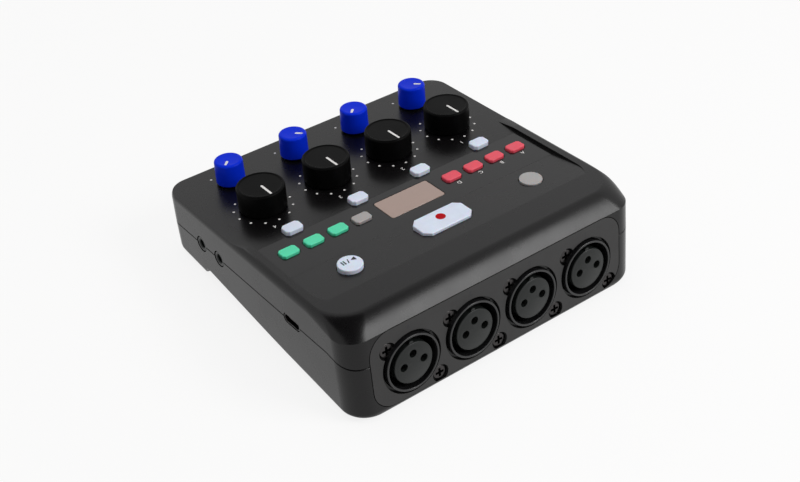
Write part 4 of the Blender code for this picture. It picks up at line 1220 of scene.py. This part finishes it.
def key_piece(name, colour_name, edge):
    """A rubber key: a flange under the case, straight sides, and a top edge that turns over on an arc."""
    low, high = box_in(CASE, name)
    under = float(low[2])
    top = float(high[2])
    wide = key_shape(name, KEY_FLANGE)
    flange_top = under + KEY_FLANGE_THICKNESS
    rows = [(wide, under), (wide, flange_top), (key_shape(name), flange_top)]
    for angle in np.linspace(0, QUARTER, 7):
        outline = key_shape(name, -edge * (1 - math.cos(angle)))
        rows.append((outline, top - edge * (1 - math.sin(angle))))
    mesh = skin(rings(*rows), CASE @ shift(*key_centre(name)))
    cap = name.replace("button", "cap")
    piece(cap, mesh, f"silicone_{colour_name}", (name,), f"{name}_key", weighted=True)


class MIXER_OT_rubber_keys(bpy.types.Operator):
    """Build the mute keys, the pads and the function keys"""

    bl_idname = "mixer.rubber_keys"
    bl_label = "Rubber keys"

    def execute(self, context):
        shades = {"mute": "white", "pad": "red", "menu": "grey", "function": "green"}
        for name in MUTE_KEYS + SMALL_KEYS:
            key_piece(name, shades[name.split("_")[0]], context.scene.mixer_sizes.key_edge)
        return {"FINISHED"}


DOT_RADIUS = 0.00185
DOT_FORWARD = 0.0010
MARKS_FORWARD = 0.0012
MARK_HALF = 0.0011
INK_DEPTH = 0.0002
INK_RISE = 0.00001


class MIXER_OT_transport_keys(bpy.types.Operator):
    """Build the record, play and power keys with their marks"""

    bl_idname = "mixer.transport_keys"
    bl_label = "Transport keys"

    def execute(self, context):
        edge = context.scene.mixer_sizes.key_edge
        for name, shade, share in (("record", "white", 0.9), ("play", "white", 0.9), ("power", "grey", 0.6)):
            key_piece(f"{name}_button", shade, edge * share)
        x, y = key_centre("record_button")
        top = float(box_in(CASE, "record_button")[1][2])
        dot = prism(circle(DOT_RADIUS, 48), top - INK_DEPTH, top + INK_RISE, moved(x, y - DOT_FORWARD, 0))
        piece("record_dot", dot, "red_ink", body="record_button_key")
        x, y = key_centre("play_button")
        top = float(box_in(CASE, "play_button")[1][2])
        place = moved(x, y - MARKS_FORWARD, 0)
        arrow = ((-0.0030, -MARK_HALF), (-0.0011, 0.0), (-0.0030, MARK_HALF))
        slash = ((-0.0006, -MARK_HALF), (-0.0002, -MARK_HALF), (0.0005, MARK_HALF), (0.0001, MARK_HALF))
        shapes = [rounded(arrow, 0.0001, 2), rounded(slash, 0.00005, 2)]
        bars = [rectangle(0.00026, MARK_HALF, x=across) for across in (0.0014, 0.0023)]
        shapes += [rounded(bar, 0.00005, 2) for bar in bars]
        marks = joined([prism(shape, top - INK_DEPTH, top + INK_RISE, place) for shape in shapes])
        piece("play_marks", marks, "black_ink", body="play_button_key")
        return {"FINISHED"}


PRINT_THICKNESS = 0.00002
# Row, distance from the knob's axis and number of the dots round each kind of knob
DOT_RINGS = ((LEVEL_ROW, 0.0108, 11), (PHONES_ROW, 0.0080, 2))
DOT_ANGLES = (-50, 230)
NUMBER_ACROSS = 0.0037
NUMBER_ROW = -0.0065
LETTER_AWAY = 0.0045
SOCKET_NUMBER_UP = -0.0142


class MIXER_OT_prints(bpy.types.Operator):
    """Print the dots round the knobs and the plain digits and letters beside the keys"""

    bl_idname = "mixer.prints"
    bl_label = "Prints"

    def execute(self, context):
        sizes = context.scene.mixer_sizes
        dot = circle(sizes.dot_size / 2, 20)
        marks = []
        for x in CHANNEL_X:
            for row, radius, count in DOT_RINGS:
                for angle in np.radians(np.linspace(*DOT_ANGLES, count)):
                    across = float(x + radius * math.cos(angle))
                    along = float(row + radius * math.sin(angle))
                    marks.append(prism(dot, -PRINT_THICKNESS, PRINT_THICKNESS, moved(across, along, 0)))
        signs = [(str(number), x + NUMBER_ACROSS, NUMBER_ROW) for number, x in zip(CHANNELS, CHANNEL_X)]
        for number, letter in zip(CHANNELS, "ABCD"):
            x, y = key_centre(f"pad_button_{number}")
            signs.append((letter, x, y + LETTER_AWAY))
        for text, x, y in signs:
            marks.append(lettering(text, sizes.print_height, PRINT_THICKNESS * 2, moved(x, y, 0)))
        piece("deck_prints", joined(marks), "white_ink")
        marks = []
        for number, x in zip(CHANNELS, SOCKET_X):
            place = FACE @ shift(x, SOCKET_NUMBER_UP) @ Matrix.Rotation(math.pi, 4, "X")
            marks.append(lettering(str(number), sizes.print_height, PRINT_THICKNESS * 2, place))
        piece("socket_numbers", joined(marks), "black_ink")
        return {"FINISHED"}


JACK_RADIUS = 0.0029
JACK_BORE = 0.00175
JACK_BORE_DEPTH = 0.0105
JACK_BACK = -0.0125
JACK_EDGE = 0.0002
SPRING_FRONT = -0.0030
SPRING_BACK = -0.0060


class MIXER_OT_jacks_and_ports(bpy.types.Operator):
    """Build the jacks, and finish the charging port and the card socket"""

    bl_idname = "mixer.jacks_and_ports"
    bl_label = "Jacks and ports"

    def execute(self, context):
        mouth = ((0, -JACK_BORE_DEPTH), (JACK_BORE, -JACK_BORE_DEPTH), (JACK_BORE, -0.0006))
        profile = np.concatenate(
            (
                mouth,
                ((JACK_BORE + 0.0003, -JACK_EDGE),),
                arc(JACK_RADIUS - JACK_EDGE, -JACK_EDGE * 2, JACK_EDGE, QUARTER, 0, 4),
                ((JACK_RADIUS, JACK_BACK), (0, JACK_BACK)),
            )
        )
        inner = JACK_BORE - 0.0002
        outer = JACK_BORE - 0.00002
        spring = (
            (inner, SPRING_BACK),
            (inner, SPRING_FRONT),
            (outer, SPRING_FRONT),
            (outer, SPRING_BACK),
            (inner, SPRING_BACK),
        )
        springs = []
        for node in SIDE_PORTS + FRONT_PORTS:
            place = port_place(node)
            mesh = skin(turned(profile, 56), place, caps=False)
            piece(f"{node}_body", mesh, "socket_nylon", (node,))
            springs.append(skin(turned(spring, 32), place, caps=False))
        piece("jack_contacts", joined(springs), "contact_metal")
        # The charging port and the card socket take the nearly black metal: painted shade for their shadowed
        # openings, over their own metal
        carried_over("screw_zinc", "usb_port", "card_socket")
        return {"FINISHED"}


def carried_over(finish_name, *nodes):
    """CAD nodes that are shown as they are, in a better finish."""
    for node in nodes:
        mesh = frame["nodes"][node].data
        mesh.materials.clear()
        mesh.materials.append(finish_of(finish_name))


FOOT_EDGE = 0.0004
FOOT_HOLLOW = 0.00005


class MIXER_OT_underside(bpy.types.Operator):
    """Build the rubber feet and finish the battery door and its holder"""

    bl_idname = "mixer.underside"
    bl_label = "Underside"

    def execute(self, context):
        for number in CHANNELS:
            place, top = foot_place(number)
            radius = half_sizes(FLOOR, f"foot_{number}")[0]
            profile = np.concatenate(
                (
                    ((0, FOOT_HOLLOW), (radius * 0.72, FOOT_HOLLOW), (radius * 0.76, 0.0)),
                    arc(radius - FOOT_EDGE, FOOT_EDGE, FOOT_EDGE, -QUARTER, 0, 6),
                    ((radius, top), (0, top)),
                )
            )
            mesh = skin(turned(profile, 64), FLOOR @ place, caps=False)
            piece(f"rubber_foot_{number}", mesh, "foot_rubber", (f"foot_{number}",))
        carried_over("abs_moulded", "battery_door", "battery_holder")
        return {"FINISHED"}


class MIXER_OT_inner_parts(bpy.types.Operator):
    """Finish the board, the display's carrier and the shafts"""

    bl_idname = "mixer.inner_parts"
    bl_label = "Inner parts"

    def execute(self, context):
        carried_over("board_laminate", "main_board", "display_module")
        for number in CHANNELS:
            carried_over("shaft_steel", f"level_shaft_{number}", f"phones_shaft_{number}")
        return {"FINISHED"}


# Stage

PAPER_GLOW = 0.85
FLOOR_RADIUS = 2.5
CARD_RADIUS = 0.85
CARD_DIRECTION = (0.17, 0.10, 0.98)
CARD_DISTANCE = 1.3
KEY_DIRECTION = (-0.45, 0.60, 0.66)
OVERHEAD_DIRECTION = (0.15, -0.25, 1.0)


def aimed(name, data, direction, distance):
    """An object that looks at the mixer from a direction."""
    made = bpy.data.objects.new(name, data)
    bpy.context.scene.collection.objects.link(made)
    away = Vector(direction).normalized()
    made.location = away * distance
    made.rotation_euler = away.to_track_quat("Z", "Y").to_euler()
    return made


def soft_lamp(name, direction, distance, size, strength):
    """A square soft light that looks at the mixer."""
    lamp = bpy.data.lights.new(name, "AREA")
    lamp.shape = "SQUARE"
    lamp.size = size
    lamp.energy = strength
    return aimed(name, lamp, direction, distance)


def background_share(tree):
    """1 for what the camera, a reflection or a clear piece sees directly, and 0 for light on surfaces."""
    path = add_node(tree, "ShaderNodeLightPath").outputs
    share = path["Is Camera Ray"]
    for kind in ("Is Glossy Ray", "Is Transmission Ray"):
        share = add_node(
            tree, "ShaderNodeMath", links={0: share, 1: path[kind]}, operation="MAXIMUM"
        ).outputs[0]
    return share


def set_world(scene, surround):
    """An even pale surround that shows as white."""
    world = bpy.data.worlds.new("studio")
    world.use_nodes = True
    scene.world = world
    tree = world.node_tree
    strength = add_node(
        tree, "ShaderNodeMapRange", {"To Min": surround, "To Max": 1.0}, {"Value": background_share(tree)}
    )
    tree.links.new(strength.outputs["Result"], tree.nodes["Background"].inputs["Strength"])
    tree.nodes["Background"].inputs["Color"].default_value = (1, 1, 1, 1)


def floor_finish():
    """White seamless paper: it shows white and keeps the mixer's soft shadow."""
    made = finish_of("seamless_paper")
    tree = made.node_tree
    glow = add_node(tree, "ShaderNodeEmission", {"Color": (1, 1, 1, 1), "Strength": 1.0})
    share = add_node(
        tree, "ShaderNodeMath", {1: PAPER_GLOW}, {0: background_share(tree)}, operation="MULTIPLY"
    )
    mixed = add_node(
        tree,
        "ShaderNodeMixShader",
        links={0: share.outputs[0], 1: tree.nodes["Principled BSDF"].outputs[0], 2: glow.outputs[0]},
    )
    tree.links.new(mixed.outputs[0], tree.nodes["Material Output"].inputs["Surface"])
    return made


def add_card():
    """A dark card overhead that only reflections see: it keeps the shoulder's upper part black."""
    card = aimed("dark_card", prism(circle(CARD_RADIUS, 48), 0.0, 0.005), CARD_DIRECTION, CARD_DISTANCE)
    card.data.materials.append(finish_of("black_velvet"))
    card.visible_camera = False
    card.visible_diffuse = False
    card.visible_transmission = False
    card.visible_shadow = False


CAMERA_TURN = math.radians(145.263)
CAMERA_RISE = math.radians(35.257)
CAMERA_ROLL = math.radians(3.965)
CAMERA_PLACE = Vector((0.2276, 0.3319, 0.2596))
PICTURE_WIDTH = 800
FOCAL_PIXELS = 1306.234
SENSOR_WIDTH = 36


def add_camera(scene):
    """The photograph's viewpoint, written in the case's frame."""
    level = math.cos(CAMERA_RISE)
    back = Vector(
        (math.sin(CAMERA_TURN) * level, -math.cos(CAMERA_TURN) * level, math.sin(CAMERA_RISE))
    )
    right = (-back).cross(Vector((0, 0, 1))).normalized()
    down = (-back).cross(right)
    across = right * math.cos(CAMERA_ROLL) + down * math.sin(CAMERA_ROLL)
    upwards = right * math.sin(CAMERA_ROLL) - down * math.cos(CAMERA_ROLL)
    turn = Matrix((across, upwards, back)).transposed().to_4x4()
    camera = bpy.data.cameras.new("camera")
    camera.sensor_width = SENSOR_WIDTH
    camera.lens = FOCAL_PIXELS / PICTURE_WIDTH * SENSOR_WIDTH
    camera.clip_start = 0.01
    made = bpy.data.objects.new("camera", camera)
    scene.collection.objects.link(made)
    made.matrix_world = CASE @ Matrix.Translation(CAMERA_PLACE) @ turn
    scene.camera = made


class MIXER_OT_stage(bpy.types.Operator):
    """Set the floor, the lights, the world and the camera"""

    bl_idname = "mixer.stage"
    bl_label = "Stage"

    def execute(self, context):
        scene = context.scene
        settings = scene.mixer_stage
        floor = bpy.data.objects.new("floor", prism(circle(FLOOR_RADIUS, 96), -0.01, 0.0))
        scene.collection.objects.link(floor)
        floor.data.materials.append(floor_finish())
        add_card()
        soft_lamp("key_light", KEY_DIRECTION, 1.0, 0.45, settings.key_power)
        overhead = soft_lamp("overhead_light", OVERHEAD_DIRECTION, 1.2, 1.0, settings.fill_power)
        overhead.visible_glossy = False
        set_world(scene, settings.surround)
        add_camera(scene)
        scene.view_settings.view_transform = "Standard"
        return {"FINISHED"}


class MIXER_PT_panel(bpy.types.Panel):
    """Sizes, colours and pieces of the mixer"""

    bl_label = "Podcast mixer"
    bl_idname = "MIXER_PT_panel"
    bl_space_type = "VIEW_3D"
    bl_region_type = "UI"
    bl_category = "Mixer"

    def draw(self, context):
        for settings in (context.scene.mixer_sizes, context.scene.mixer_colours, context.scene.mixer_stage):
            box = self.layout.box()
            for name in settings.__annotations__:
                box.prop(settings, name)
        for operator in OPERATORS:
            self.layout.operator(operator.bl_idname)


OPERATORS = (
    MIXER_OT_upper_case,
    MIXER_OT_lower_case,
    MIXER_OT_control_strip,
    MIXER_OT_socket_plate,
    MIXER_OT_sockets,
    MIXER_OT_level_knobs,
    MIXER_OT_phones_knobs,
    MIXER_OT_rubber_keys,
    MIXER_OT_transport_keys,
    MIXER_OT_prints,
    MIXER_OT_jacks_and_ports,
    MIXER_OT_underside,
    MIXER_OT_inner_parts,
    MIXER_OT_stage,
)
GROUPS = (MixerSizes, MixerColours, StageSettings)


def register():
    for item in GROUPS + OPERATORS + (MIXER_PT_panel,):
        bpy.utils.register_class(item)
    bpy.types.Scene.mixer_sizes = PointerProperty(type=MixerSizes)
    bpy.types.Scene.mixer_colours = PointerProperty(type=MixerColours)
    bpy.types.Scene.mixer_stage = PointerProperty(type=StageSettings)


def unregister():
    del bpy.types.Scene.mixer_stage
    del bpy.types.Scene.mixer_colours
    del bpy.types.Scene.mixer_sizes
    for item in reversed(GROUPS + OPERATORS + (MIXER_PT_panel,)):
        bpy.utils.unregister_class(item)


def main():
    """Builds every piece and the stage."""
    register()
    for operator in OPERATORS:
        group, name = operator.bl_idname.split(".")
        getattr(getattr(bpy.ops, group), name)()


if __name__ == "__main__":
    main()
